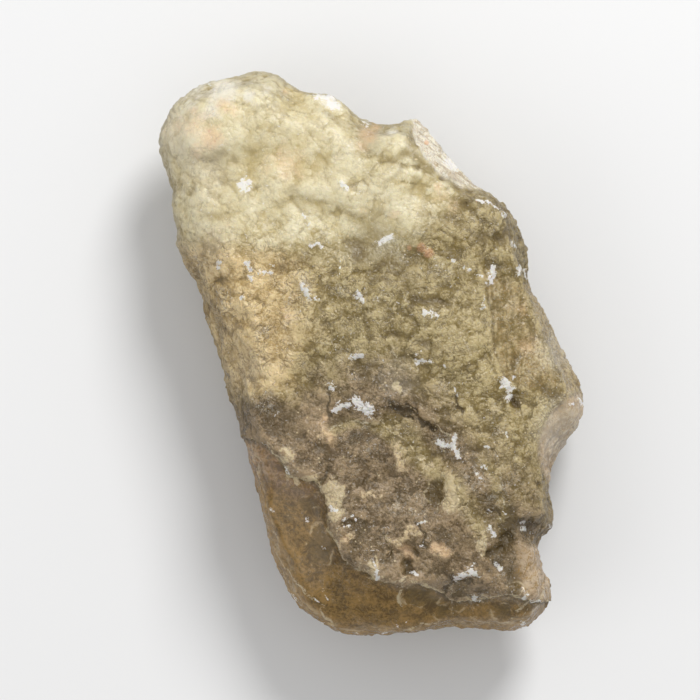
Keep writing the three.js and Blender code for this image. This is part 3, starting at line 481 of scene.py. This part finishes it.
def fineBody():  # the solid's own shape, with its facets melted
    bm = bmesh.new()
    bm.from_mesh(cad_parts["desert_glass"].data)
    bmesh.ops.remove_doubles(bm, verts=bm.verts, dist=0.002 * mm)
    for _ in range(relief["meltRounds"]):
        edges = list(bm.edges)
        middles = np.array([(e.verts[0].co + e.verts[1].co) / 2 for e in edges]) / mm
        facing = np.array([(e.verts[0].normal.z + e.verts[1].normal.z) / 2 for e in edges])
        lengths = np.array([e.calc_length() for e in edges]) / mm
        long = [edges[i] for i in np.flatnonzero(lengths > wantedEdge(middles, facing))]
        bmesh.ops.subdivide_edges(bm, edges=long, cuts=1, use_grid_fill=True)
        bmesh.ops.triangulate(bm, faces=bm.faces)
        loose = [v for v in bm.verts if v.co.z > 0.01 * mm]  # all but the foot
        for _ in range(relief["rounding"]):
            bmesh.ops.smooth_vert(bm, verts=loose, factor=0.5,
                                  use_axis_x=True, use_axis_y=True, use_axis_z=True)
        bm.normal_update()
    mesh = bpy.data.meshes.new("desertGlassSkin")
    bm.to_mesh(mesh)
    bm.free()
    return mesh


def readVectors(collection, key):
    values = np.empty(len(collection) * 3)
    collection.foreach_get(key, values)
    return values.reshape(-1, 3)


def makeStone():
    mesh = fineBody()
    points = readVectors(mesh.vertices, "co") / mm
    normals = readVectors(mesh.vertices, "normal")
    print("stone:", len(mesh.polygons), "faces")
    seed = Vector(relief["seed"])
    front = smoothStep(points[:, 2], 8, 12) * smoothStep(normals[:, 2], -0.1, 0.15)

    # where the glass is freshly broken and smooth
    facet = toLine(points, ledge)[1]
    onFacet = smoothStep(facet, 0.0, 1.2) * smoothStep(points[:, 2], 6, 9) * (points[:, 1] < -10)
    paleScoop = smoothStep(insideRound(points, relief["paleScoop"]), -0.3, 0.8) * front
    lobe = smoothStep(insideRound(points, relief["lobe"]), 0, 1.5) * front
    outer = smoothStep(within(points, outerFacet), -0.3, 0.5) * smoothStep(points[:, 2], 6, 9)
    stripe = smoothStep(within(points, strip), -0.5, 1.5) * front
    band = smoothStep(within(points, chalkBand), -0.3, 0.7) * smoothStep(points[:, 2], 7, 10)
    breaks = [onFacet, paleScoop, lobe, 0.35 * outer, 0.7 * band, 0.55 * stripe]
    smooth = np.clip(np.maximum.reduce(breaks), 0, 1)
    roughness = 1 - relief["smoothing"] * smooth

    warp = swirl(points, 4.5, (3.1, 17.7, 29.3))
    slow = swirl(points, 13.0, (53.1, 61.7, 79.3))
    warped = points + relief["wander"] * warp + relief["drift"] * slow
    flowing = warped * np.array([0.62, 1.0, 1.0])  # the lumps of the middle run across the stone
    upper = smoothStep(points[:, 1] + 0.15 * points[:, 0], 14, 24)
    bowl = falloff(points, relief["bowl"])
    patchy = np.clip(0.8 + 1.2 * sampled(points / 8.0 + 5, noise.noise), 0.2, 1.5)
    lean = Vector((-0.1, -0.35, 0))  # each lump is highest on its lower side
    dome, domeCrease = domes(warped, relief["domeSize"], seed, lean)
    scale, scaleCrease = domes(flowing, relief["scaleSize"], 2 * seed, lean)
    mingled = np.clip(0.75 + 1.6 * sampled(points / 7.0 + 23, noise.noise), 0.15, 1.3)
    height = relief["domeRise"] * (0.4 + 0.6 * upper) * mingled * (dome - 0.4)
    height += relief["scaleRise"] * (1 - 0.4 * upper) * patchy * (scale - 0.4)
    height += relief["knobRise"] * patchy * lumps(flowing, relief["knobSize"], 3 * seed, 3)
    height *= 1 - relief["bowlCalming"] * bowl
    height += relief["grainRise"] * patchy * front * lumps(warped, relief["grainSize"], 3 * seed)
    crease = np.maximum(upper * domeCrease, 0.5 * scaleCrease) * np.clip(mingled - 0.25, 0, 1)
    crease *= roughness * front * (1 - 0.7 * bowl)
    rim = smoothStep(0.75 - normals[:, 2], 0, 0.5) * smoothStep(points[:, 2], 1, 4)
    height *= roughness
    rimLumps = lumps(warped, relief["rimSize"], 4 * seed, 3)
    height += relief["rimRise"] * rim * (0.75 + 0.25 * roughness) * rimLumps
    height += relief["waveRise"] * smooth * sampled(points / 4.0 + 41, noise.noise)

    # long grooves down the outer facet and along the chalk band
    along = points[:, 0] * 0.943 + points[:, 1] * 0.333
    grooves = sampled(np.stack([along / 0.9, points[:, 1] / 14, points[:, 2] / 5], axis=1), noise.noise)
    height += (relief["outerGrooves"] * outer + relief["stripGrooves"] * stripe) * grooves
    across = points[:, 0] * 0.72 + points[:, 1] * 0.69
    slanting = points[:, 0] - points[:, 1]
    layers = sampled(np.stack([across / 0.8, slanting / 12, points[:, 2] / 6], axis=1), noise.noise)
    height += relief["bandLayers"] * band * layers

    pits = roundMarks(points + 0.5 * warp, marks["pits"]) * front
    chalky = chalkMarks(points + 0.25 * warp) * front
    toned = strokeTones(points + 0.7 * warp) * front
    height += relief["strokeDepth"] * toned
    calm = sum(falloff(points, place) for place in calmPlaces)
    height *= 1 - relief["calming"] * np.clip(calm, 0, 1)
    height -= relief["pitDepth"] * pits
    curled = swirl(points, 1.4, (91.1, 97.7, 89.3))
    crackGap, crack = thinLines(points + 0.5 * warp + 0.7 * curled, cracks)
    height -= relief["crackDepth"] * crack * np.exp(-(crackGap / 1.5) ** 2) * front
    height += relief["chalkRise"] * smoothStep(chalky, 0.4, 0.9)
    brink = facet + 0.35 * sampled(points / 1.1 + 77, noise.noise)
    lip = np.where(brink < 0, relief["lipRise"] * np.exp(-(brink / 1.3) ** 2),
                   -relief["lipFall"] * np.exp(-(brink / 1.1) ** 2))
    height += lip * front * (points[:, 1] < -10)  # the ledge stands a little over the break

    moved = points + normals * height[:, None]
    foot = points[:, 2] < 0.01
    moved[:, 2] = np.where(foot, 0, np.maximum(moved[:, 2], 0.02))
    mesh.vertices.foreach_set("co", (moved * mm).ravel())
    mesh.update()

    # hollows: how far each point lies below the evened surface
    edges = np.empty(len(mesh.edges) * 2, int)
    mesh.edges.foreach_get("vertices", edges)
    edges = edges.reshape(-1, 2)
    outwards = readVectors(mesh.vertices, "normal")

    def below(rounds):
        even = np.stack([evened(moved[:, k], edges, rounds) for k in range(3)], axis=1)
        return np.sum((even - moved) * outwards, axis=1)

    fineHollow = below(relief["fineRounds"])
    broadHollow = below(relief["broadRounds"])
    print("hollows: fine", fineHollow.std().round(3), "broad", broadHollow.std().round(3), "mm")

    # the zones of colour, with wandering borders
    x, y = moved[:, 0] + 1.3 * warp[:, 0], moved[:, 1] + 1.3 * warp[:, 1]
    paleLine = np.interp(x, zoneLines["palePlaces"], zoneLines["paleLine"])
    pale = smoothStep(y - paleLine, -8, 5)
    leftSide = smoothStep(-x, 3, 19)
    umberStart = np.interp(x, zoneLines["umberPlaces"], zoneLines["umberStart"])
    umberReach = np.interp(x, zoneLines["umberPlaces"], zoneLines["umberReach"])
    umber = smoothStep((umberStart - y) / umberReach, 0, 1)
    for halfWidth, *line in veins:
        near = toLine(np.stack([x, y], axis=1), line)[0]
        umber *= 1 - zoneLines["veinClearing"] * np.exp(-(near / halfWidth) ** 2)
    creamCrust, salmonCrust = crustMarks(points + 0.5 * warp + 1.3 * curled)
    litSeamGap, litSeam = thinLines(points + 0.5 * warp + 0.5 * curled, litSeams)
    masks = {
        "pale": pale,
        "leftSide": leftSide * (1 - pale) * (1 - umber),
        "umber": umber,
        "rosy": onFacet,
        "amber": onFacet * smoothStep(-points[:, 1] - 0.35 * points[:, 0], 24, 32),
        "strip": stripe,
        "outer": outer,
        "tan": np.maximum(np.maximum(paleScoop, lobe), 0.3 * outer),
        "band": band,
        "salmon": np.maximum(roundMarks(moved, marks["salmon"]), 0.7 * salmonCrust) * front,
        "orange": roundMarks(moved, marks["orange"]) * front,
        "cream": np.maximum(roundMarks(moved, marks["cream"]), creamCrust + 0.5 * salmonCrust) * front,
        "litSeamGap": litSeamGap,
        "litSeam": litSeam * front,
        "crackGap": crackGap,
        "crack": crack * front,
        "window": windowGaps(points + 0.7 * warp + 0.8 * curled),
        "tint": sum(tone * falloff(points, place) for *place, tone in tints),
        "frost": roundMarks(moved, marks["frost"]) * front,
        "chalk": chalky,
        "pit": pits,
        # tone, crease, turned and the hollows also paint the glass: painted light on ridges, painted shade
        # in hollows, creases and on turned-away sides
        "tone": 0.5 + 0.5 * toned,
        "crease": crease,
        # edge: the facet's turning rim, for cream chips and painted light through the thin glass
        "edge": np.exp(-((normals[:, 2] - 0.35) / 0.15) ** 2) * onFacet,
        "turned": smoothStep(1 - normals[:, 2], 0.35, 0.8),
        "ledge": np.where(points[:, 1] < -10, np.clip(brink, -3, 3), 3),
        "fresh": smooth,
        "fineHollow": np.clip(0.5 + fineHollow / relief["fineSpread"], 0, 1),
        "broadHollow": np.clip(0.5 + broadHollow / relief["broadSpread"], 0, 1),
    }
    for name, values in masks.items():
        mesh.attributes.new(name, "FLOAT", "POINT").data.foreach_set("value", values.astype(np.float32))
    mesh.shade_smooth()
    stone = bpy.data.objects.new("desertGlassStone", mesh)
    bpy.context.scene.collection.objects.link(stone)
    return stone


class Wire:  # a shader socket that can be reckoned with
    def __init__(self, tree, socket=None):
        self.tree = tree
        self.socket = socket

    def also(self, name):  # another output of the same node
        return Wire(self.tree, self.socket.node.outputs[name])

    def node(self, kind, settings=None, values=None, out=0):
        made = self.tree.nodes.new("ShaderNode" + kind)
        for name, value in (settings or {}).items():
            setattr(made, name, value)
        for name, value in (values or {}).items():
            if isinstance(value, Wire):
                self.tree.links.new(value.socket, made.inputs[name])
            else:
                made.inputs[name].default_value = value
        return Wire(self.tree, made.outputs[out])

    def maths(self, operation, first, second):
        return self.node("Math", {"operation": operation}, {0: first, 1: second})

    def __add__(self, other):
        return self.maths("ADD", self, other)

    def __radd__(self, other):
        return self.maths("ADD", other, self)

    def __sub__(self, other):
        return self.maths("SUBTRACT", self, other)

    def __rsub__(self, other):
        return self.maths("SUBTRACT", other, self)

    def __mul__(self, other):
        return self.maths("MULTIPLY", self, other)

    def __rmul__(self, other):
        return self.maths("MULTIPLY", other, self)

    def __abs__(self):
        return self.maths("ABSOLUTE", self, 0)

    def orMore(self, other):
        return self.maths("MAXIMUM", self, other)

    def step(self, low, high):  # eased from 0 at low to 1 at high
        return self.node("MapRange", {"interpolation_type": "SMOOTHSTEP"},
                         {"Value": self, "From Min": low, "From Max": high})

    def over(self, colour, mask):  # this colour with another laid over it
        return self.node("Mix", {"data_type": "RGBA"}, {0: mask, 6: self, 7: colour}, 2)


glass = {
    # each zone's darker clear glass and its paler frosted glass
    "olive": ((0.25, 0.178, 0.048, 1), (0.60, 0.485, 0.245, 1)),
    "leftSide": ((0.52, 0.36, 0.14, 1), (0.88, 0.68, 0.365, 1)),
    "umber": ((0.13, 0.082, 0.030, 1), (0.41, 0.295, 0.165, 1)),
    "pale": ((0.60, 0.48, 0.22, 1), (0.84, 0.76, 0.51, 1)),
    "rosy": ((0.19, 0.105, 0.038, 1), (0.47, 0.305, 0.165, 1)),
    "amber": ((0.125, 0.066, 0.003, 1), (0.36, 0.21, 0.05, 1)),
    "tan": ((0.40, 0.28, 0.155, 1), (0.62, 0.48, 0.32, 1)),
    "strip": ((0.23, 0.165, 0.055, 1), (0.54, 0.42, 0.22, 1)),
    "frost": (0.90, 0.85, 0.72, 1),
    "salmon": (0.92, 0.62, 0.35, 1),
    "orange": (0.80, 0.42, 0.22, 1),
    "cream": (0.84, 0.69, 0.42, 1),
    "chalk": (0.90, 0.88, 0.84, 1),
    "litSeam": (0.74, 0.64, 0.43, 1),
    "window": (0.13, 0.08, 0.008, 1),
    "plies": (0.50, 0.40, 0.27, 1),
    "pit": (0.10, 0.065, 0.022, 1),
    "shadeAndFlaws": (0.13, 0.09, 0.035, 1),
    "scatter": 0.2,
    "scatterReach": 0.0015,
    "scatterColours": (1.0, 0.8, 0.35),
    "ior": 1.47,
    "seeThrough": 0.3,
    "gloss": 0.24,              # roughness of the olive glass, with more on the pale end and on chalk
    "paleRoughness": 0.16,
    "chalkRoughness": 0.3,
    "bumpDepth": 0.0003,
}

# Sizes of the patterns in the glass
grain = {
    "patches": 6, "mottle": 2.4, "speckle": 0.6, "dust": 0.28,
    "largeLumps": 2.9, "smallLumps": 1.3, "tinyLumps": 0.65, "panes": 4.5,
    "crumple": 1.7, "grit": 0.42, "glintSpots": 1.1, "sparkle": 0.45, "chalk": 0.7, "edge": 1.5,
}

# How strongly each thing is laid over the glass
cover = {
    "hollowShade": 0.5, "deepShade": 0.25, "creaseShade": 0.3, "lumpShade": 0.3, "crumpleShade": 0.35,
    "sideShade": 0.45, "brinkShade": 0.6, "darkTint": 0.45, "crinkleShade": 0.5, "darkThreads": 0.5,
    "frost": 0.85, "lightTint": 0.25, "paleCrinkles": 0.35, "cream": 0.75, "edge": 0.45, "lip": 0.7,
    "windowRim": 0.4, "glintSpots": 0.7, "plies": 0.65, "amberThreads": 0.8, "amberRim": 0.5, "window": 0.45,
    "litSeam": 0.7, "crack": 0.8, "pit": 0.5, "salmon": 0.65, "orange": 0.6, "chalk": 0.92, "sparkle": 0.6,
}


def glassMaterial():
    material = bpy.data.materials.new("desertGlass")
    material.use_nodes = True
    tree = material.node_tree
    tree.nodes.clear()
    start = Wire(tree)
    place = start.node("VectorMath", {"operation": "SCALE"},
                       {0: start.node("TexCoord", {}, {}, "Object"), "Scale": 1000.0})

    def mask(name):
        return start.node("Attribute", {"attribute_name": name}, {}, "Fac")

    def cloud(size, detail=3.0, harsh=0.55, twist=0.0):
        return start.node("TexNoise", {}, {"Vector": place, "Scale": 1 / size, "Detail": detail,
                                           "Roughness": harsh, "Distortion": twist})

    drift = start.node("VectorMath", {"operation": "MULTIPLY_ADD"}, {
        0: start.node("TexNoise", {}, {"Vector": place, "Scale": 1 / 1.6, "Detail": 2.0}, 1),
        1: (1.4, 1.4, 1.4), 2: place})

    def pebbles(size):  # rounded lumps, each at a height of its own, so that they overlap
        away = start.node("TexVoronoi", {}, {"Vector": drift, "Scale": 1 / size}, "Distance")
        own = start.node("SeparateColor", {}, {"Color": away.also("Color")}, "Red")
        return 1 - 1.5 * away * away + 1.1 * (own - 0.5), own

    def threads(size, width, twist):  # thin crinkled lines where a cloud crosses its middle
        gap = cloud(size, 3, 0.6, twist) - 0.5
        return 1 - abs(gap).step(0.0, width)

    def fibres(source, detail=3.0, harsh=0.5):  # a cloud on a place that is drawn out one way
        return start.node("TexNoise", {}, {"Scale": 1.0, "Detail": detail, "Roughness": harsh,
                                           "Vector": source})

    patches, mottle = cloud(grain["patches"]), cloud(grain["mottle"], 5, 0.62)
    speckle, dust = cloud(grain["speckle"], 4, 0.65), cloud(grain["dust"], 2)
    hollow, dip, tone, fresh = mask("fineHollow"), mask("broadHollow"), mask("tone"), mask("fresh")
    pale, turned = mask("pale"), mask("turned")

    large, largeOwn = pebbles(grain["largeLumps"])
    small, smallOwn = pebbles(grain["smallLumps"])
    tiny, tinyOwn = pebbles(grain["tinyLumps"])
    skin = large.orMore(small - 0.25)
    worn = 1 - 0.9 * fresh
    paneOwn = pebbles(grain["panes"])[1]
    crumple = 6.0 * abs(cloud(grain["crumple"], 4, 0.6, 0.8) - 0.5)  # creases at 0, about 1 between them
    crumpled = worn * (1 - pale) * (patches + mottle).step(0.85, 1.1)
    grit = cloud(grain["grit"], 3, 0.7).step(0.40, 0.60)
    streaks = fibres(start.node("VectorMath", {"operation": "MULTIPLY"}, {0: place, 1: (1.4, 0.16, 0.3)}))
    plies = fibres(start.node("Mapping", {"vector_type": "TEXTURE"}, {
        "Vector": place, "Rotation": (0, 0, 0.95), "Scale": (0.7, 6.0, 6.0)}), harsh=0.6)

    zones = [  # laid over the olive of the middle, one after the other
        ("leftSide", (mask("leftSide") + 0.6 * (mottle - 0.5)).step(0.1, 0.9)),
        ("umber", (mask("umber") + 0.7 * (patches - 0.5) + 0.4 * (mottle - 0.5)).step(0.15, 0.85)),
        ("strip", mask("strip") * 0.8),
        ("pale", (pale + 0.6 * (mottle - 0.5)).step(0.15, 0.85)),
        ("rosy", mask("rosy")),
        ("amber", (mask("amber") + 0.8 * (mottle - 0.5)).step(0.2, 0.8)),
        ("tan", mask("tan") * 0.9),
    ]

    def zoneColour(which):
        colour = None
        for name, share in zones:
            under = glass["olive"][which] if colour is None else colour
            colour = start.node("Mix", {"data_type": "RGBA"}, {0: share, 6: under, 7: glass[name][which]}, 2)
        return colour

    # the frosted share of the glass: painted light and shade from the relief (lighter ridges and lump tops,
    # darker hollows and creases), the patterns and the grain, in that order
    paler = (1.0 * (tone - 0.5) + 0.6 * (0.5 - hollow) + 0.4 * (0.5 - dip)
             + (1.4 + 1.8 * fresh - 0.5 * pale) * (mottle - 0.5)
             + (0.3 * crumpled + 0.6 * fresh) * (crumple - 0.5)
             + 0.4 * (patches - 0.5) * fresh + 0.3 * (paneOwn - 0.5) * fresh
             + 0.5 * (grit - 0.5) * (0.6 + 0.4 * mask("umber")) * (1 - 0.7 * pale) * (1 - 0.6 * fresh)
             + (0.5 * (skin - 0.6) + 0.35 * (largeOwn - 0.5) + 0.35 * (smallOwn - 0.5)
                + 0.45 * (tinyOwn - 0.5)) * worn * (1 - 0.5 * pale)
             + 0.8 * (speckle - 0.5) * (1 + 1.2 * fresh - 0.6 * pale)
             + 1.0 * (dust - 0.5) * (1 - 0.8 * fresh) * (1 - 0.7 * pale)
             + 2.0 * (streaks - 0.5) * mask("strip").orMore(mask("outer"))).step(-0.65, 0.65)
    colour = zoneColour(0).over(zoneColour(1), paler)

    # shade in the hollows, between the lumps and on the sides
    sunk = cover["hollowShade"] * (0.5 - tone).step(0.0, 0.5) + cover["deepShade"] * hollow.step(0.6, 1.0)
    colour = colour.over(glass["shadeAndFlaws"], sunk)
    between = cover["lumpShade"] * (1 - skin.step(0.0, 0.4)) * worn * (1 - 0.4 * pale)
    colour = colour.over(glass["shadeAndFlaws"], mask("crease") * cover["creaseShade"] + between)
    colour = colour.over(glass["shadeAndFlaws"], (1 - crumple.step(0.0, 0.2)) * crumpled * cover["crumpleShade"])
    colour = colour.over(glass["shadeAndFlaws"], turned * (1 - fresh) * cover["sideShade"])

    # frost, crusts and the layers of the chalk band
    frosty = (1.3 * mask("frost") + mask("band") * 0.65 + 1.6 * (mottle - 0.5)).step(0.25, 0.9)
    colour = colour.over(glass["frost"], frosty * cover["frost"])
    crusty = (mask("cream") + 1.3 * (speckle - 0.5) + 1.4 * (mottle - 0.5)).step(0.3, 0.8)
    colour = colour.over(glass["cream"], crusty * cover["cream"])
    colour = colour.over(glass["plies"], mask("band") * plies.step(0.48, 0.6) * cover["plies"])

    # flaws that show through the smooth breaks, with the light lines of flake edges and cracks painted as
    # highlights
    colour = colour.over(glass["amber"][1], threads(2.6, 0.04, 1.5) * fresh * cover["amberThreads"])
    # dark threads are flaws in the glass, in the dark brown that also serves for painted shade
    colour = colour.over(glass["shadeAndFlaws"], threads(3.4, 0.03, 1.0) * fresh * cover["darkThreads"])
    window = mask("window") + 0.8 * (speckle - 0.5)
    colour = colour.over(glass["window"], (1 - window.step(-0.6, 0.1)) * cover["window"])
    windowRim = (1 - abs(window - 0.1).step(0.05, 0.3)) * mottle.step(0.45, 0.6)
    colour = colour.over(glass["cream"], windowRim * cover["windowRim"])
    # painted highlight along the edges of flakes and cracks
    light = (1 - abs(mask("litSeamGap") + 2.0 * (speckle - 0.5)).step(0.6, 1.4)) * mask("litSeam")
    dark = (1 - abs(mask("crackGap") + 3.0 * (speckle - 0.5)).step(0.7, 1.4)) * mask("crack")
    colour = colour.over(glass["litSeam"], light * (dust + 2 * mottle).step(1.4, 1.65) * cover["litSeam"])
    colour = colour.over(glass["pit"], dark * cover["crack"])
    # cream on the facet's turning edge: partly chips, partly painted light where the thin glass lets light
    # through
    chippedLitEdge = mask("edge") * cloud(grain["edge"], 4, 0.65).step(0.48, 0.6)
    colour = colour.over(glass["cream"], chippedLitEdge * cover["edge"])
    colour = colour.over(glass["amber"][1], turned * fresh * mask("amber") * cover["amberRim"])

    # the ledge: a shadow below it and a pale edge
    brink = mask("ledge") + 0.7 * (speckle - 0.5)
    under = brink.step(-0.1, 0.1) * (1 - brink.step(0.1, 1.0))
    colour = colour.over(glass["shadeAndFlaws"], under * cover["brinkShade"])
    lip = (1 - abs(brink + 0.1).step(0.10, 0.30)) * (patches + mottle).step(0.9, 1.15)
    colour = colour.over(glass["cream"], lip * cover["lip"])

    # stains, pits and the broad tints
    stained = (1.3 * mask("salmon") + 0.8 * (mottle - 0.5) + 0.5 * (speckle - 0.5)).step(0.15, 0.95)
    colour = colour.over(glass["salmon"], stained * cover["salmon"])
    rusty = (mask("orange") + 0.4 * (speckle - 0.5)).step(0.3, 0.7)
    colour = colour.over(glass["orange"], rusty * cover["orange"])
    pitted = (mask("pit") + 0.9 * (speckle - 0.5) + 0.6 * (mottle - 0.5)).step(0.3, 0.9)
    colour = colour.over(glass["pit"], pitted * cover["pit"])
    tint = mask("tint") + 0.25 * (mottle - 0.5)
    colour = colour.over(glass["frost"], tint.step(0.05, 0.5) * cover["lightTint"])
    colour = colour.over(glass["shadeAndFlaws"], (1 - tint.step(-0.5, -0.05)) * cover["darkTint"])

    # painted shade in the crinkles, pale crinkles, painted glints as pale specks, then chalk and painted
    # sparkle on top of everything
    crinkled = mottle.step(0.35, 0.6) * (1 - 0.75 * fresh) * (1 - 0.6 * pale)
    # painted shade along the crinkle creases
    colour = colour.over(glass["shadeAndFlaws"], threads(1.7, 0.05, 0.8) * crinkled * cover["crinkleShade"])
    paleCrinkles = threads(1.3, 0.05, 1.0) * crinkled * patches.step(0.5, 0.65)
    colour = colour.over(glass["frost"], paleCrinkles * cover["paleCrinkles"])
    # painted glints: small pale specks standing in for highlights
    glintSpots = start.node("TexVoronoi", {}, {"Vector": place, "Scale": 1 / grain["glintSpots"]})
    glinting = (1 - glintSpots.step(0.12, 0.17)) * worn * mottle.step(0.45, 0.6)
    colour = colour.over(glass["cream"], glinting * cover["glintSpots"])
    # painted sparkle: white specks standing in for glints off tiny facets, in the chalk white
    sparkle = cloud(grain["sparkle"], 2).step(0.66, 0.72) * (1 - 0.8 * fresh) * patches.step(0.35, 0.6)
    ragged = 2.5 * (cloud(grain["chalk"], 4, 0.7) - 0.5)
    chalky = (1.3 * mask("chalk") + ragged).step(0.80, 1.0) * cover["chalk"]
    colour = colour.over(glass["chalk"], chalky + cover["sparkle"] * (1 - chalky) * sparkle)

    rough = glass["gloss"] + glass["paleRoughness"] * pale + glass["chalkRoughness"] * chalky
    fine = (0.3 * tiny + 0.5 * speckle + 0.3 * dust) * (1 - 0.6 * pale)
    bump = start.node("Bump", {}, {
        "Strength": 1.0, "Distance": glass["bumpDepth"],
        "Height": (0.8 * skin * (1 - 0.45 * pale) + 0.6 * crumple * crumpled + fine) * worn})
    shader = start.node("BsdfPrincipled", {}, {
        "Base Color": colour, "Roughness": rough, "Normal": bump, "IOR": glass["ior"],
        "Transmission Weight": glass["seeThrough"], "Subsurface Weight": glass["scatter"],
        "Subsurface Radius": glass["scatterColours"], "Subsurface Scale": glass["scatterReach"],
    })
    output = tree.nodes.new("ShaderNodeOutputMaterial")
    tree.links.new(shader.socket, output.inputs["Surface"])
    return material


def plainMaterial(name, colour, roughness):
    material = bpy.data.materials.new(name)
    material.use_nodes = True
    shader = material.node_tree.nodes["Principled BSDF"]
    shader.inputs["Base Color"].default_value = colour
    shader.inputs["Roughness"].default_value = roughness
    return material


def areaLight(name, place, size, power):
    lamp = bpy.data.lights.new(name, "AREA")
    lamp.shape = "DISK"
    lamp.size = size * mm
    lamp.energy = power
    holder = bpy.data.objects.new(name, lamp)
    holder.location = Vector(place) * mm
    holder.rotation_euler = Vector(place).to_track_quat("Z", "Y").to_euler()
    bpy.context.scene.collection.objects.link(holder)


def makeStage():
    scene = bpy.context.scene
    scene.view_settings.view_transform = "Standard"
    world = bpy.data.worlds.new("paleRoom")
    scene.world = world
    world.use_nodes = True
    world.node_tree.nodes["Background"].inputs["Color"].default_value = (1, 1, 1, 1)
    world.node_tree.nodes["Background"].inputs["Strength"].default_value = stage["worldLight"]
    areaLight("keyLight", stage["keyFrom"], stage["keySize"], stage["keyPower"])
    areaLight("fillLight", stage["fillFrom"], stage["fillSize"], stage["fillPower"])

    bm = bmesh.new()
    bmesh.ops.create_grid(bm, x_segments=1, y_segments=1, size=stage["floorSize"] / 2 * mm)
    floorMesh = bpy.data.meshes.new("paleFloor")
    bm.to_mesh(floorMesh)
    bm.free()
    floor = bpy.data.objects.new("paleFloor", floorMesh)
    floor.data.materials.append(plainMaterial("paleFloor", stage["floorColour"], stage["floorRoughness"]))
    scene.collection.objects.link(floor)

    lens = bpy.data.cameras.new("camera")
    lens.sensor_width = stage["filmWidth"]
    lens.lens = lens.sensor_width * (stage["cameraHeight"] - stage["rimHeight"]) / stage["fieldWidth"]
    lens.clip_start, lens.clip_end = stage["clipping"]
    camera = bpy.data.objects.new("camera", lens)
    camera.location = (stage["lookAt"][0] * mm, stage["lookAt"][1] * mm, stage["cameraHeight"] * mm)
    scene.collection.objects.link(camera)
    scene.camera = camera


makeStage()
print("stage set")
stone = makeStone()
stone.data.materials.append(glassMaterial())
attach(stone, "root")
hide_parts("desert_glass")
print("stone dressed")
